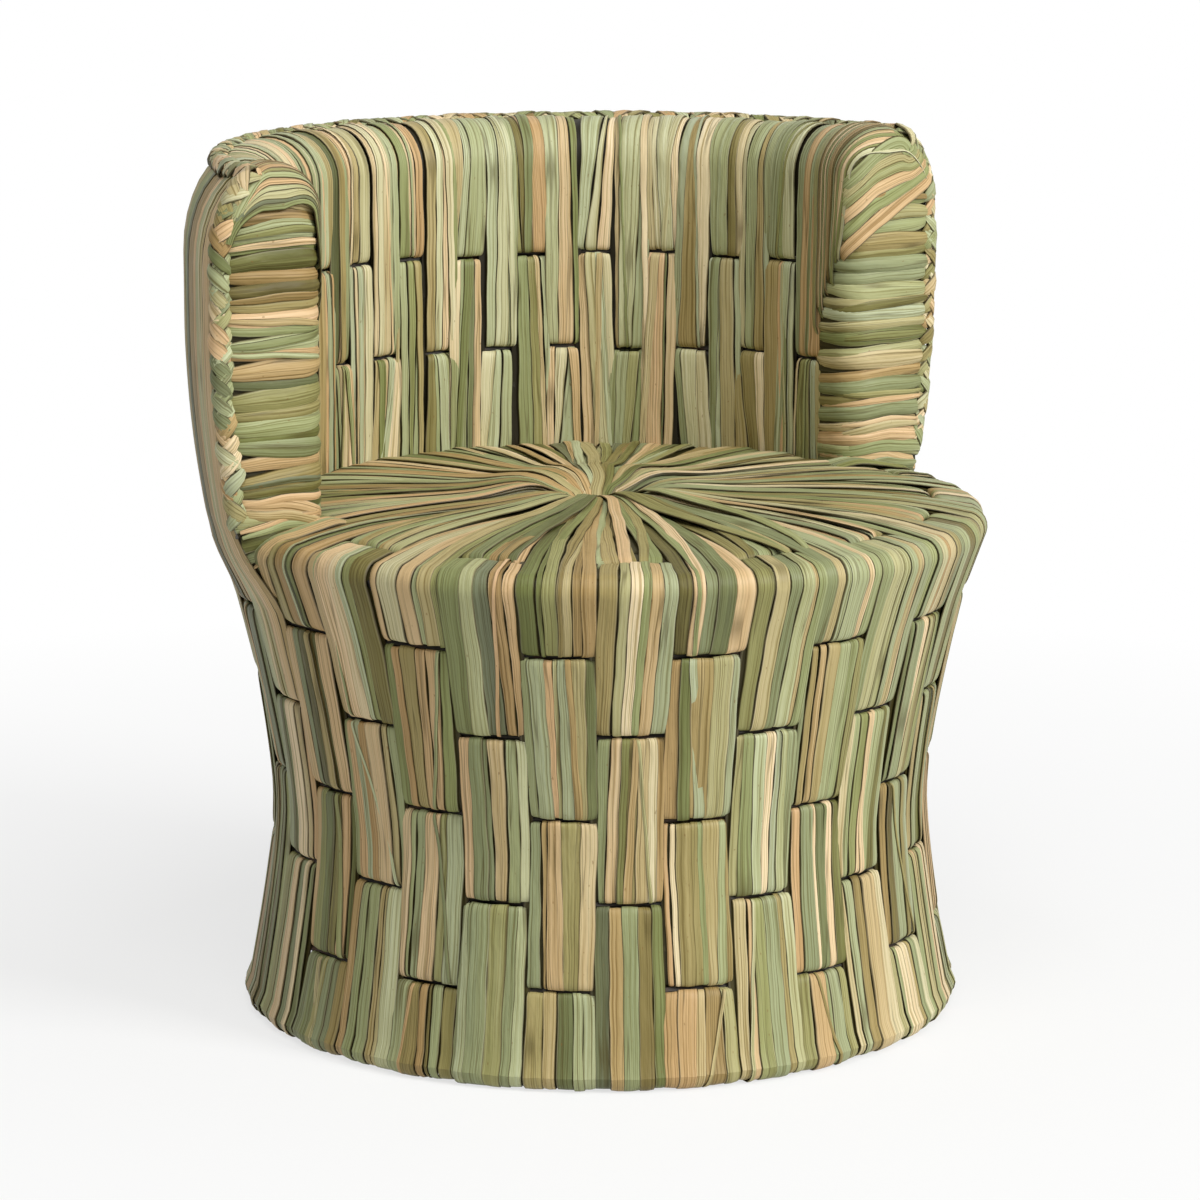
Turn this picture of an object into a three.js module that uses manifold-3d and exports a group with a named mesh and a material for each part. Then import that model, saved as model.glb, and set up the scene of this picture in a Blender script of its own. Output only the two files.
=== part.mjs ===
// A barrel chair woven from flat leaf bundles over a hidden frame of steel rod.
// Millimetres, +Z up. The chair faces -Y. The drum is a waisted turned form and the back is half
// a barrel that stands on its rear half.
import * as THREE from 'three';
import { mergeVertices } from 'three/addons/utils/BufferGeometryUtils.js';
import Module from 'manifold-3d';

const wasm = await Module();
wasm.setup();

// Outline of the chair, skin to skin
const seatHeight = 428;
const crownHeight = 728;
const backOuterRadius = 344;
const backOverhang = 15;
const waistDraw = 49;
const floorDraw = 22;
const waistHeightShare = 3 / 7;
const flarePowerShare = 1.5;
const swellDepth = 130;
const wallThickness = 81;
const outerRollHeight = 80;
const armFaceOffset = 5;
const armFlare = 18;
const armFlareTurnShare = 0.25;
const seatCrown = 11;

// Leaf
const bundleThickness = 6;
const hubBundleThickness = 3;
const seamGap = 3;
const seamShare = 0.2;
const diveLength = 10;
const diveFlat = 4;
const stripThickness = 2.5;
const stripGap = 1.1;
const windingRound = 18;
const braidDiameter = 15;
const braidStitch = 19;
const braidWaistShare = 0.82;

// Steel rod
const hoopRod = 6;
const floorRod = 12;
const seatRod = 22;
const ribRod = 6;
const hubRod = 7;
const armRod = 10;
const touch = 0.3;
const wireSides = 5;
const rodSides = 6;
const ringSides = 8;
const frontRibSteps = 10;
const rearRibSteps = 30;
const railSteps = 24;
const armFrameSteps = 22;

// Counts and places of the weave
const footRowExtra = 8;
const columnCount = 32;
const hoopCount = 5;
const innerColumnCount = 25;
const innerColumnsPerQuarter = 14;
const rowWireCount = 3;
const topRowWireDepth = 120;
const lowRowWireRise = 8;
const seatHoopDraw = 45;
const hubRadius = 30;
const hubDepth = 12;
const knotDepth = 8;
const knotGap = 0.5;
const oddHoops = [1, 3, 5];
const evenHoops = [2, 4];
const backOddHoops = [3, 5];
const evenRows = [2];
const oddRows = [1, 3];
const windingLoops = 20;
const windingFootRise = 6;
const windingTopDepth = 22;

// Shares of a half turn round the floor ring and the rim, of the seat ring's radius along the seat,
// and of a quarter turn along the rolled edge
const floorTurnShares = [7 / 8, 5 / 8, 3 / 8, 1 / 8, -1 / 8];
const rimTurnShares = [-1 / 8, 1 / 8, 3 / 8];
const rimDiveTurnShares = [-1 / 8, 1 / 8, 3 / 8, 5 / 8];
const seatReachShares = [0.82, 0.45];
const archTurnShares = [0.5, 0];
const braidTurnShares = [0.7, 0.45];

const steel = 0x3a3833;
const steelRoughness = 0.55;
const leafRoughness = 0.75;
const leafColours = [0x8f9a72, 0xb5ad7c, 0x7d8a62, 0xc9b68d, 0x9aa583, 0xa3a276];
const backColourShift = 2;
const braidColour = 0xbfae84;

// Sizes that follow from the outline
const rimRadius = backOuterRadius - backOverhang;
const waistRadius = rimRadius - waistDraw;
const floorRadius = rimRadius - floorDraw;
const waistHeight = seatHeight * waistHeightShare;
const backSwellHeight = crownHeight - swellDepth;
const hoopPitch = (seatHeight - footRowExtra) / (hoopCount + 1);
const topRowWireHeight = crownHeight - topRowWireDepth;
const rowWirePitch = (topRowWireHeight - seatHeight - lowRowWireRise) / (rowWireCount - 1);
const seatHoopRadius = rimRadius - seatHoopDraw;
const hubHeight = seatHeight - hubDepth;
const windingFoot = seatHeight + windingFootRise;
const windingTop = crownHeight - windingTopDepth;
const windingPitch = (windingTop - windingFoot) / windingLoops;

const halfColumn = Math.PI / columnCount;
const cornerScale = 1 / Math.cos(halfColumn);
const innerPitch = Math.PI / 2 / innerColumnsPerQuarter;
const innerScale = 1 / Math.cos(innerPitch / 2);
const firstInnerEdge = Math.PI / 2 - (innerColumnCount / 2) * innerPitch;
const drumAxisY = -(backOuterRadius - rimRadius) / 2;

// The rolled top edge: an upright half ellipse outside, a quarter circle inside
const rollRadius = wallThickness / 2;
const innerRadius = backOuterRadius - wallThickness;
const crownRadius = innerRadius + rollRadius;
const outerRollFoot = crownHeight - outerRollHeight;
const innerRollFoot = crownHeight - rollRadius;

// Where the rods lie under the skin
const hoopInset = bundleThickness + touch + hoopRod / 2;
const diveInset = hoopInset + hoopRod / 2 + touch + bundleThickness / 2;
const ribInset = hoopInset + hoopRod / 2 + 3 * touch + ribRod / 2;
const diveGap = ribRod + 2 * touch + touch;
const floorWrap = floorRod / 2 + touch + bundleThickness / 2;
const seatWrap = seatRod / 2 + touch + bundleThickness / 2;
const seatRingRadius = rimRadius - seatWrap - bundleThickness / 2;
const seatRingHeight = seatHeight - seatWrap - bundleThickness / 2;
const floorRingRadius = floorRadius - floorWrap - bundleThickness / 2;
const floorRingHeight = floorWrap + bundleThickness / 2;
const seatHoopHeight = seatHeight - hoopInset;

// Skin radius of the drum and of the outer face of the back at a height
function skinRadius(height) {
  if (height > seatHeight) {
    const climbShare = Math.min((height - seatHeight) / (backSwellHeight - seatHeight), 1);
    return rimRadius + (backOuterRadius - rimRadius) * (1 - (1 - climbShare) ** 2);
  }
  const upper = height > waistHeight;
  const endRadius = upper ? rimRadius : floorRadius;
  const reach = upper ? seatHeight - waistHeight : waistHeight;
  const awayShare = Math.abs(height - waistHeight) / reach;
  return waistRadius + (endRadius - waistRadius) * awayShare ** flarePowerShare;
}

// How far the outer face of the back leans out at an angle round the axis and a height. It is most
// at the arm ends, fades out an eighth of a turn behind them, at the crown and in the top row.
function armLean(angle, height) {
  const behindArm = Math.min(angle, Math.PI - angle);
  const sideShare = Math.max(1 - behindArm / (armFlareTurnShare * Math.PI), 0) ** 2;
  const foot = seatHeight - hoopPitch + diveLength;
  const riseShare = Math.min(Math.max((height - foot) / (seatHeight + diveLength - foot), 0), 1);
  const crownShare = ellipseReach(1, outerRollHeight, height - outerRollFoot);
  return armFlare * sideShare * riseShare * crownShare;
}

// Skin height of the seat at a distance from the drum's axis
function seatSkin(radius) {
  return seatHeight + seatCrown * Math.max(0, 1 - (radius / seatRingRadius) ** 2);
}

// A point of the rolled edge, an angle behind or before the crown, inset from the skin
function outerRoll(angle, inset) {
  const reach = crownRadius + (rollRadius - inset) * Math.sin(angle);
  return { reach, height: outerRollFoot + (outerRollHeight - inset) * Math.cos(angle) };
}

function innerRoll(angle, inset) {
  const reach = crownRadius - (rollRadius - inset) * Math.sin(angle);
  return { reach, height: innerRollFoot + (rollRadius - inset) * Math.cos(angle) };
}

// Half chord of an ellipse at a height above its middle
function ellipseReach(halfWidth, halfHeight, rise) {
  const riseShare = Math.min(Math.max(rise, 0) / halfHeight, 1);
  return halfWidth * Math.sqrt(1 - riseShare ** 2);
}

function columnWidth(radius, gap) {
  const pitch = 2 * radius * Math.tan(halfColumn);
  return pitch - Math.min(gap, pitch * seamShare);
}

// Joins rings of points into one closed body; outline is the ring drawn flat for its two ends
function loftGeometry(rings, outline) {
  const size = rings[0].length;
  const positions = rings.flat().flatMap((point) => [point.x, point.y, point.z]);
  const faces = [];
  for (let ring = 0; ring + 1 < rings.length; ring++) {
    for (let i = 0; i < size; i++) {
      const a = ring * size + i;
      const b = ring * size + ((i + 1) % size);
      faces.push(a, b, b + size, a, b + size, a + size);
    }
  }
  const last = (rings.length - 1) * size;
  for (const [a, b, c] of THREE.ShapeUtils.triangulateShape(outline, [])) {
    faces.push(a, c, b, last + a, last + b, last + c);
  }
  const geometry = new THREE.BufferGeometry();
  geometry.setAttribute('position', new THREE.Float32BufferAttribute(positions, 3));
  geometry.setIndex(faces);
  return faceOut(geometry);
}

// Turns all faces round when the body is inside out
function faceOut(geometry) {
  const place = geometry.getAttribute('position');
  const index = geometry.getIndex();
  const a = new THREE.Vector3();
  const b = new THREE.Vector3();
  const c = new THREE.Vector3();
  let volume = 0;
  for (let i = 0; i < index.count; i += 3) {
    a.fromBufferAttribute(place, index.getX(i));
    b.fromBufferAttribute(place, index.getX(i + 1));
    c.fromBufferAttribute(place, index.getX(i + 2));
    volume += a.dot(b.cross(c));
  }
  if (volume < 0) {
    const turned = Array.from(index.array);
    for (let i = 0; i < turned.length; i += 3) {
      [turned[i], turned[i + 1]] = [turned[i + 1], turned[i]];
    }
    geometry.setIndex(turned);
  }
  return geometry;
}

// A regular polygon as a rod's section
function rodOutline(diameter, sides) {
  const corners = [];
  for (let i = 0; i < sides; i++) {
    const angle = (2 * Math.PI * i) / sides;
    corners.push(new THREE.Vector2(Math.cos(angle), Math.sin(angle)).multiplyScalar(diameter / 2));
  }
  return corners;
}

// A closed hoop whose flats lie square to the columns
function hoopGeometry(flatRadius, height, diameter, sides) {
  const outline = rodOutline(diameter, sides).map(
    (corner) => new THREE.Vector2((flatRadius + corner.x) * cornerScale, height + corner.y),
  );
  outline.push(outline[0].clone());
  const lathe = new THREE.LatheGeometry(outline, columnCount);
  return faceOut(onlyPosition(lathe).rotateX(Math.PI / 2));
}

// Merged and bare of normals and uvs, as a closed mesh
function onlyPosition(geometry) {
  geometry.deleteAttribute('normal');
  geometry.deleteAttribute('uv');
  return mergeVertices(geometry);
}

// A bent rod along points, swept by extrusion
function rodGeometry(points, diameter, sides, steps) {
  const path = new THREE.CatmullRomCurve3(points, false, 'centripetal');
  const section = new THREE.Shape(rodOutline(diameter, sides));
  const swept = new THREE.ExtrudeGeometry(section, { steps, extrudePath: path });
  return faceOut(onlyPosition(swept));
}

// A point at an angle round the drum's axis
function around(angle, reach, height) {
  return new THREE.Vector3(Math.cos(angle) * reach, Math.sin(angle) * reach, height);
}

// The order of a four-cornered ring, for its ends
const squareOutline = [[0, 0], [1, 0], [1, 1], [0, 1]].map(([x, y]) => new THREE.Vector2(x, y));

// A flat bundle in an upright plane through the drum's axis. Its stations run along the bundle
// and give reach, height, thickness and width; shift moves a station sideways, and a station that
// leans follows the outer face of the back near the arms.
function ribbonGeometry(stations, angle) {
  const across = new THREE.Vector3(-Math.sin(angle), Math.cos(angle), 0);
  const places = stations.map((station) => new THREE.Vector2(station.reach, station.height));
  const normals = [];
  for (let i = 0; i + 1 < places.length; i++) {
    const along = places[i + 1].clone().sub(places[i]).normalize();
    normals.push(new THREE.Vector2(-along.y, along.x));
  }
  const rings = stations.map((station, i) => {
    const before = normals[Math.max(i - 1, 0)];
    const after = normals[Math.min(i, normals.length - 1)];
    const mitre = before.clone().add(after).normalize();
    mitre.multiplyScalar(station.thickness / 2 / mitre.dot(after));
    const corners = [[1, -1], [1, 1], [-1, 1], [-1, -1]];
    return corners.map(([side, hand]) => {
      const reach = station.reach + side * mitre.x;
      const height = station.height + side * mitre.y;
      const sideways = (hand * station.width) / 2 + (station.shift ?? 0);
      const lean = station.leans ? armLean(angle + Math.atan2(sideways, reach), height) : 0;
      return around(angle, reach + lean, height).addScaledVector(across, sideways);
    });
  });
  return loftGeometry(rings, squareOutline);
}

function toManifold(geometry) {
  const merged = mergeVertices(geometry);
  return new wasm.Manifold(new wasm.Mesh({
    numProp: 3,
    vertProperties: new Float32Array(merged.getAttribute('position').array),
    triVerts: new Uint32Array(merged.getIndex().array),
  }));
}

function fromManifold(solid) {
  const mesh = solid.getMesh();
  const geometry = new THREE.BufferGeometry();
  geometry.setAttribute('position', new THREE.BufferAttribute(mesh.vertProperties, 3));
  geometry.setIndex(new THREE.BufferAttribute(mesh.triVerts, 1));
  return geometry;
}

function joined(geometries) {
  return fromManifold(geometries.map(toManifold).reduce((whole, piece) => whole.add(piece)));
}

const chair = new THREE.Group();
const woven = new THREE.Group();
woven.position.y = drumAxisY;
chair.add(woven);

function addPiece(name, geometry, colour, metal) {
  const roughness = metal ? steelRoughness : leafRoughness;
  const material = new THREE.MeshStandardMaterial({ color: colour, roughness, metalness: metal });
  const mesh = new THREE.Mesh(geometry, material);
  mesh.name = name;
  woven.add(mesh);
}

// Rings and hoops of the drum
const floorRing = hoopGeometry(floorRingRadius, floorRingHeight, floorRod, rodSides);
const seatRing = hoopGeometry(seatRingRadius, seatRingHeight, seatRod, ringSides);
const seatHoop = hoopGeometry(seatHoopRadius, seatHoopHeight, hoopRod, wireSides);
addPiece('floor_ring', floorRing, steel, 1);
addPiece('seat_ring', seatRing, steel, 1);
addPiece('seat_hoop', seatHoop, steel, 1);

const hoopHeights = [];
for (let i = 1; i <= hoopCount; i++) {
  const height = footRowExtra + i * hoopPitch;
  hoopHeights.push(height);
  const geometry = hoopGeometry(skinRadius(height) - hoopInset, height, hoopRod, wireSides);
  addPiece(`drum_hoop_${i}`, geometry, steel, 1);
}

// Hub ring of the pinch with four arms out to the seat ring, welded as one spider
const spiderArms = 4;
const spiderEnd = seatRingRadius * cornerScale - seatRod / 2 - 2 * touch;
const spiderEndHeight = seatHoopHeight - hoopRod / 2 - touch - ribRod / 2;
const spiderPieces = [];
const hubOutline = rodOutline(hubRod, rodSides).map(
  (corner) => new THREE.Vector2(hubRadius + corner.x, hubHeight + corner.y),
);
hubOutline.push(hubOutline[0].clone());
spiderPieces.push(
  faceOut(onlyPosition(new THREE.LatheGeometry(hubOutline, columnCount / 2)).rotateX(Math.PI / 2)),
);
for (let arm = 0; arm < spiderArms; arm++) {
  const angle = (2 * halfColumn * arm * columnCount) / spiderArms;
  const points = [around(angle, hubRadius, hubHeight), around(angle, spiderEnd, spiderEndHeight)];
  spiderPieces.push(rodGeometry(points, ribRod, rodSides, 1));
}
addPiece('seat_spider', joined(spiderPieces), steel, 1);

// Ribs stand on the column seams every eighth of the drum, inside all hoops
const ribCount = 8;
const ribStep = columnCount / ribCount;

function ribReach(height) {
  return (skinRadius(height) - ribInset) * cornerScale;
}

function drumLeg() {
  const leg = [[floorRingRadius * cornerScale, floorRingHeight + floorRod / 2 + 2 * touch]];
  for (const height of hoopHeights) leg.push([ribReach(height), height]);
  return leg;
}

function ribGeometry(places, angle, steps) {
  const points = places.map(([reach, height, leans]) => (
    around(angle, reach + (leans ? armLean(angle, height) : 0), height)
  ));
  return rodGeometry(points, ribRod, wireSides, steps);
}

const frontLeg = drumLeg();
frontLeg.push([
  (seatRingRadius - ribRod / 2) * cornerScale,
  seatRingHeight - seatRod / 2 - touch,
]);

const railHeight = crownHeight - bundleThickness - touch - armRod / 2;
const archHeight = railHeight - armRod / 2 - touch - ribRod / 2;
const archInset = crownHeight - archHeight;
const innerLegReach = (innerRadius + ribInset) * innerScale;
const rearLeg = drumLeg();
const behindRing = seatRingRadius * cornerScale - seatRod / 2 - touch - ribRod / 2;
const swellLeg = backOuterRadius - archInset;
rearLeg.push(
  [behindRing, seatRingHeight - seatRod / 2],
  [behindRing, seatRingHeight + seatRod / 2],
  [(behindRing + swellLeg) / 2, seatHeight + rowWirePitch, true],
  [swellLeg, backSwellHeight, true],
  [swellLeg, outerRollFoot, true],
);
for (const archShare of archTurnShares) {
  const place = outerRoll((archShare * Math.PI) / 2, archInset);
  rearLeg.push([place.reach, place.height, true]);
}
const archTurn = innerRoll(Math.PI / 4, archInset);
rearLeg.push(
  [archTurn.reach, archTurn.height],
  [innerLegReach, innerRollFoot - rollRadius / 2],
  [innerLegReach, topRowWireHeight],
  [innerLegReach, topRowWireHeight - rowWirePitch],
  [innerLegReach, topRowWireHeight - 2 * rowWirePitch],
  [seatHoopRadius * cornerScale, seatHoopHeight + hoopRod / 2 + touch],
);

for (let i = 0; i < ribCount / 2; i++) {
  const seam = 2 * halfColumn * (ribStep / 2 + i * ribStep);
  addPiece(`front_rib_${i + 1}`, ribGeometry(frontLeg, -seam, frontRibSteps), steel, 1);
  addPiece(`rear_rib_${i + 1}`, ribGeometry(rearLeg, seam, rearRibSteps), steel, 1);
}

// Top rail, and the row wires of the inner face
class Arc extends THREE.Curve {
  constructor(radius, height, start, end) {
    super();
    Object.assign(this, { radius, height, start, end });
  }

  getPoint(share) {
    return around(this.start + (this.end - this.start) * share, this.radius, this.height);
  }
}

function arcRod(radius, height, start, diameter, sides, steps) {
  const section = new THREE.Shape(rodOutline(diameter, sides));
  const path = new Arc(radius, height, start, Math.PI - start);
  const swept = new THREE.ExtrudeGeometry(section, { steps, extrudePath: path });
  return faceOut(onlyPosition(swept));
}

const railStart = Math.asin((armFaceOffset + stripThickness + touch + armRod + touch) / crownRadius);
const rail = arcRod(crownRadius, railHeight, railStart, armRod, rodSides, railSteps);
addPiece('back_top_rail', rail, steel, 1);

const rowWireRadius = (innerRadius + hoopInset) * innerScale;
for (let i = 0; i < rowWireCount; i++) {
  const height = topRowWireHeight - i * rowWirePitch;
  const wire = arcRod(rowWireRadius, height, firstInnerEdge, hoopRod, wireSides, innerColumnCount);
  addPiece(`back_row_wire_${i + 1}`, wire, steel, 1);
}

// Arm frames: a bent rod inside each arm end, from the seat ring over the top to the seat
const armFrameY = armFaceOffset + stripThickness + touch + armRod / 2;
const braidInset = braidDiameter / 2;
const windingOuterInset = braidDiameter + touch;
const armInset = windingOuterInset + 3 * stripThickness + touch + armRod / 2;
const armInnerSkin = 2 * bundleThickness + stripThickness + windingRound / 3;
const armInnerInset = armInnerSkin + 2 * touch + armRod / 2;
const rearSeatTop = seatSkin(innerRadius);
const middleRowWireHeight = topRowWireHeight - rowWirePitch;
const armStart = seatRingHeight + seatRod / 2 + touch;
const armPlaces = [armStart, armStart + armRod].map((height) => [seatRingRadius - touch, height]);
const armLow = seatHeight + seatRod + armRod;
for (const height of [armLow, (armLow + middleRowWireHeight) / 2, middleRowWireHeight, outerRollFoot]) {
  armPlaces.push([skinRadius(height) + armLean(0, height + windingPitch) - armInset, height]);
}
const armTurn = outerRoll(Math.PI / 4, armInset);
const armCrown = outerRoll(0, armInset);
const armDrop = innerRoll(Math.PI / 3, armInset);
armPlaces.push(
  [armTurn.reach + armLean(0, armTurn.height + windingPitch), armTurn.height],
  [armCrown.reach, armCrown.height],
  [armDrop.reach, armDrop.height],
  [innerRadius + armInnerInset, outerRollFoot],
  [innerRadius + armInnerInset, middleRowWireHeight],
  [innerRadius + armInnerInset, rearSeatTop + bundleThickness],
);

// Leaf bundles of the front and the seat. Even ones dive behind odd hoops, odd ones behind even.
function station(reach, height, thickness, gap) {
  const radius = Math.abs(reach) - thickness / 2;
  return { reach, height, thickness, width: columnWidth(radius, gap) };
}

// The way round the floor ring and up the drum as far as a height, from inside out
function drumStations(divesBehind) {
  const list = [];
  const inside = floorRingRadius - floorWrap;
  list.push(station(inside, floorRingHeight + floorRod, bundleThickness, seamGap));
  const bend = floorWrap / Math.cos(Math.PI / 8);
  for (const turnShare of floorTurnShares) {
    const turn = turnShare * Math.PI;
    const reach = floorRingRadius + bend * Math.cos(turn);
    list.push(station(reach, floorRingHeight - bend * Math.sin(turn), bundleThickness, seamGap));
  }
  for (const hoop of divesBehind) {
    const height = hoopHeights[hoop - 1];
    if (hoop !== divesBehind[0]) {
      const middle = height - hoopPitch;
      list.push(station(skinRadius(middle) - bundleThickness / 2, middle, bundleThickness, seamGap));
    }
    const behind = skinRadius(height) - diveInset;
    const below = height - diveLength;
    const above = height + diveLength;
    list.push(station(skinRadius(below) - bundleThickness / 2, below, bundleThickness, diveGap));
    list.push(station(behind, height - diveFlat, bundleThickness, diveGap));
    list.push(station(behind, height + diveFlat, bundleThickness, diveGap));
    list.push(station(skinRadius(above) - bundleThickness / 2, above, bundleThickness, diveGap));
  }
  return list;
}

// From the rim over the seat hoop to the hub, then down into the knot at its own level
function seatStations(overHoop, level) {
  const list = [];
  const bend = seatWrap / Math.cos(Math.PI / 8);
  for (const turnShare of overHoop ? rimTurnShares : rimDiveTurnShares) {
    const turn = turnShare * Math.PI;
    const reach = seatRingRadius + bend * Math.cos(turn);
    list.push(station(reach, seatRingHeight + bend * Math.sin(turn), bundleThickness, seamGap));
  }
  const besideHoop = hoopRod / 2 + touch + bundleThickness / 2;
  if (overHoop) {
    list.push(station(seatHoopRadius, seatHoopHeight + besideHoop, bundleThickness, seamGap));
  } else {
    const under = seatHoopHeight - besideHoop;
    list.push(station(seatHoopRadius + diveFlat, under, bundleThickness, diveGap));
    list.push(station(seatHoopRadius - diveFlat, under, bundleThickness, diveGap));
  }
  for (const reachShare of seatReachShares) {
    const reach = reachShare * seatRingRadius;
    list.push(station(reach, seatSkin(reach) - bundleThickness / 2, bundleThickness, seamGap));
  }
  return list.concat(hubStations(level));
}

function hubStations(level) {
  const bend = hubRod / 2 + 3 * touch + hubBundleThickness / 2;
  const corner = bend * Math.tan(Math.PI / 8);
  const inside = hubRadius - bend;
  return [
    station(hubRadius - corner, hubHeight + bend, hubBundleThickness, seamGap),
    station(inside, hubHeight + corner, hubBundleThickness, seamGap),
    station(inside, level, hubBundleThickness, seamGap),
  ];
}

// From the knot back over the hub and across the rear seat, under the wall, onto the seat ring
function rearSeatStations(level) {
  const list = hubStations(level).reverse();
  const middle = seatReachShares.at(-1) * seatRingRadius;
  list.push(station(middle, seatSkin(middle) - bundleThickness / 2, bundleThickness, seamGap));
  const overHoop = seatHoopHeight + hoopRod / 2 + touch + bundleThickness / 2;
  const before = innerRadius - rowWirePitch / 2;
  const footReach = innerRadius - bundleThickness;
  const dip = seatHeight - bundleThickness / 2;
  list.push(station(before, seatSkin(innerRadius) - touch, bundleThickness, seamGap));
  list.push(station(footReach, dip, bundleThickness, diveGap));
  list.push(station(seatHoopRadius, overHoop, bundleThickness, diveGap));
  const end = seatRingRadius - armRod;
  list.push(station(end, seatRingHeight + seatWrap, bundleThickness, diveGap));
  return list.map((one) => ({ ...one, reach: -one.reach }));
}

const seatBundleCount = columnCount / 2;
const knotTop = hubHeight - hubRod / 2 - knotDepth;
for (let i = 0; i < seatBundleCount; i++) {
  const even = i % 2 === 0;
  const level = knotTop - i * (hubBundleThickness + knotGap);
  const stations = drumStations(even ? oddHoops : evenHoops);
  stations.push(...seatStations(even, level), ...rearSeatStations(level));
  const angle = -Math.PI + (2 * i + 1) * halfColumn;
  const name = `seat_bundle_${String(i + 1).padStart(2, '0')}`;
  addPiece(name, ribbonGeometry(stations, angle), leafColours[i % leafColours.length], 0);
}

// Outer back bundles: free of the upper hoops, woven into the lower ones
const braidTurn = Math.PI / 9;
const braidReach = (braidDiameter / 2 + touch) / Math.hypot(
  rollRadius * Math.cos(braidTurn),
  outerRollHeight * Math.sin(braidTurn),
);
const braidSide = armFaceOffset + braidDiameter / 2;
const armTrim = armFaceOffset + braidDiameter + touch;

function backStations(divesBehind, hand) {
  const list = drumStations(divesBehind);
  const trim = hand ? armTrim : 0;
  const free = [
    [skinRadius(seatHeight) - bundleThickness / 2, seatHeight - seatRod],
    [skinRadius(seatHeight + seatRod) - bundleThickness / 2, seatHeight + seatRod],
    [skinRadius(middleRowWireHeight) - bundleThickness / 2, middleRowWireHeight],
    [backOuterRadius - bundleThickness / 2, backSwellHeight],
    [backOuterRadius - bundleThickness / 2, outerRollFoot],
  ];
  const lastTurn = braidTurn + braidReach;
  for (const turn of [Math.PI / 3, (Math.PI / 3 + lastTurn) / 2, lastTurn]) {
    const place = outerRoll(turn, bundleThickness / 2);
    free.push([place.reach, place.height]);
  }
  free.forEach(([reach, height], i) => {
    const one = station(reach, height, bundleThickness, seamGap);
    const cut = i === 0 ? 0 : trim;
    list.push({ ...one, width: one.width - cut, shift: (hand * cut) / 2, leans: true });
  });
  return list;
}

for (let i = 0; i < seatBundleCount; i++) {
  const even = i % 2 === 0;
  const hand = i === 0 ? 1 : i === seatBundleCount - 1 ? -1 : 0;
  const angle = (2 * i + 1) * halfColumn;
  const stations = backStations(even ? backOddHoops : evenHoops, hand);
  const name = `back_bundle_${String(i + 1).padStart(2, '0')}`;
  const colour = leafColours[(i + backColourShift) % leafColours.length];
  addPiece(name, ribbonGeometry(stations, angle), colour, 0);
}

// Inner back: a rolled band over the top edge, with a tongue of leaf hanging from it per column
const bandFoot = outerRollFoot;
const bandStart = Math.asin((armFaceOffset + touch) / innerRadius);
const bandEdgeShare = 1.25;
const bandOuterTurn = braidTurn - braidReach * bandEdgeShare;
const bandSteps = 4;

function bandPlaces(inset) {
  const places = [outerRoll(bandOuterTurn, inset), outerRoll(0, inset)];
  for (let i = 1; i <= bandSteps; i++) {
    places.push(innerRoll((i / bandSteps) * (Math.PI / 2), inset));
  }
  places.push({ reach: innerRadius + inset, height: bandFoot });
  return places;
}

const bandRing = [...bandPlaces(0), ...bandPlaces(bundleThickness).reverse()];
const bandAngles = [bandStart];
for (let i = 0; i <= innerColumnCount; i++) bandAngles.push(firstInnerEdge + i * innerPitch);
bandAngles.push(Math.PI - bandStart);
const bandGeometry = loftGeometry(
  bandAngles.map((angle) => (
    bandRing.map((place) => around(angle, place.reach * innerScale, place.height))
  )),
  bandRing.map((place) => new THREE.Vector2(place.reach, place.height)),
);

function tongueStations(divesAt) {
  const width = (reach, gap) => 2 * reach * Math.tan(innerPitch / 2) - gap;
  const front = innerRadius + bundleThickness / 2;
  const list = [[front, bandFoot + diveLength, seamGap]];
  for (let row = 0; row < rowWireCount; row++) {
    const height = topRowWireHeight - row * rowWirePitch;
    const last = row === rowWireCount - 1;
    const foot = height - hoopRod / 2;
    if (!divesAt.includes(row + 1)) {
      if (last) list.push([front, foot, seamGap]);
      continue;
    }
    list.push([front, height + diveLength, seamGap]);
    list.push([innerRadius + diveInset, height + diveFlat, diveGap]);
    list.push([innerRadius + diveInset, last ? foot : height - diveFlat, diveGap]);
    if (!last) list.push([front, height - diveLength, seamGap]);
  }
  return list.map(([reach, height, gap]) => (
    { reach, height, thickness: bundleThickness, width: width(reach, gap) }
  ));
}

const innerPieces = [bandGeometry];
for (let i = 0; i < innerColumnCount; i++) {
  const stations = tongueStations(i % 2 === 0 ? evenRows : oddRows);
  stations[0].thickness = bundleThickness / 2;
  innerPieces.push(ribbonGeometry(stations, firstInnerEdge + (i + 0.5) * innerPitch));
}
addPiece('inner_back_weave', joined(innerPieces), leafColours[4], 0);

// Arm windings: one flat strip wound in level turns round the arm end, as an unbroken helix
const stripHeight = windingPitch - stripGap;
const windingDepth = innerRadius * Math.sin(firstInnerEdge) - armFaceOffset - 2 * touch;

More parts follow.
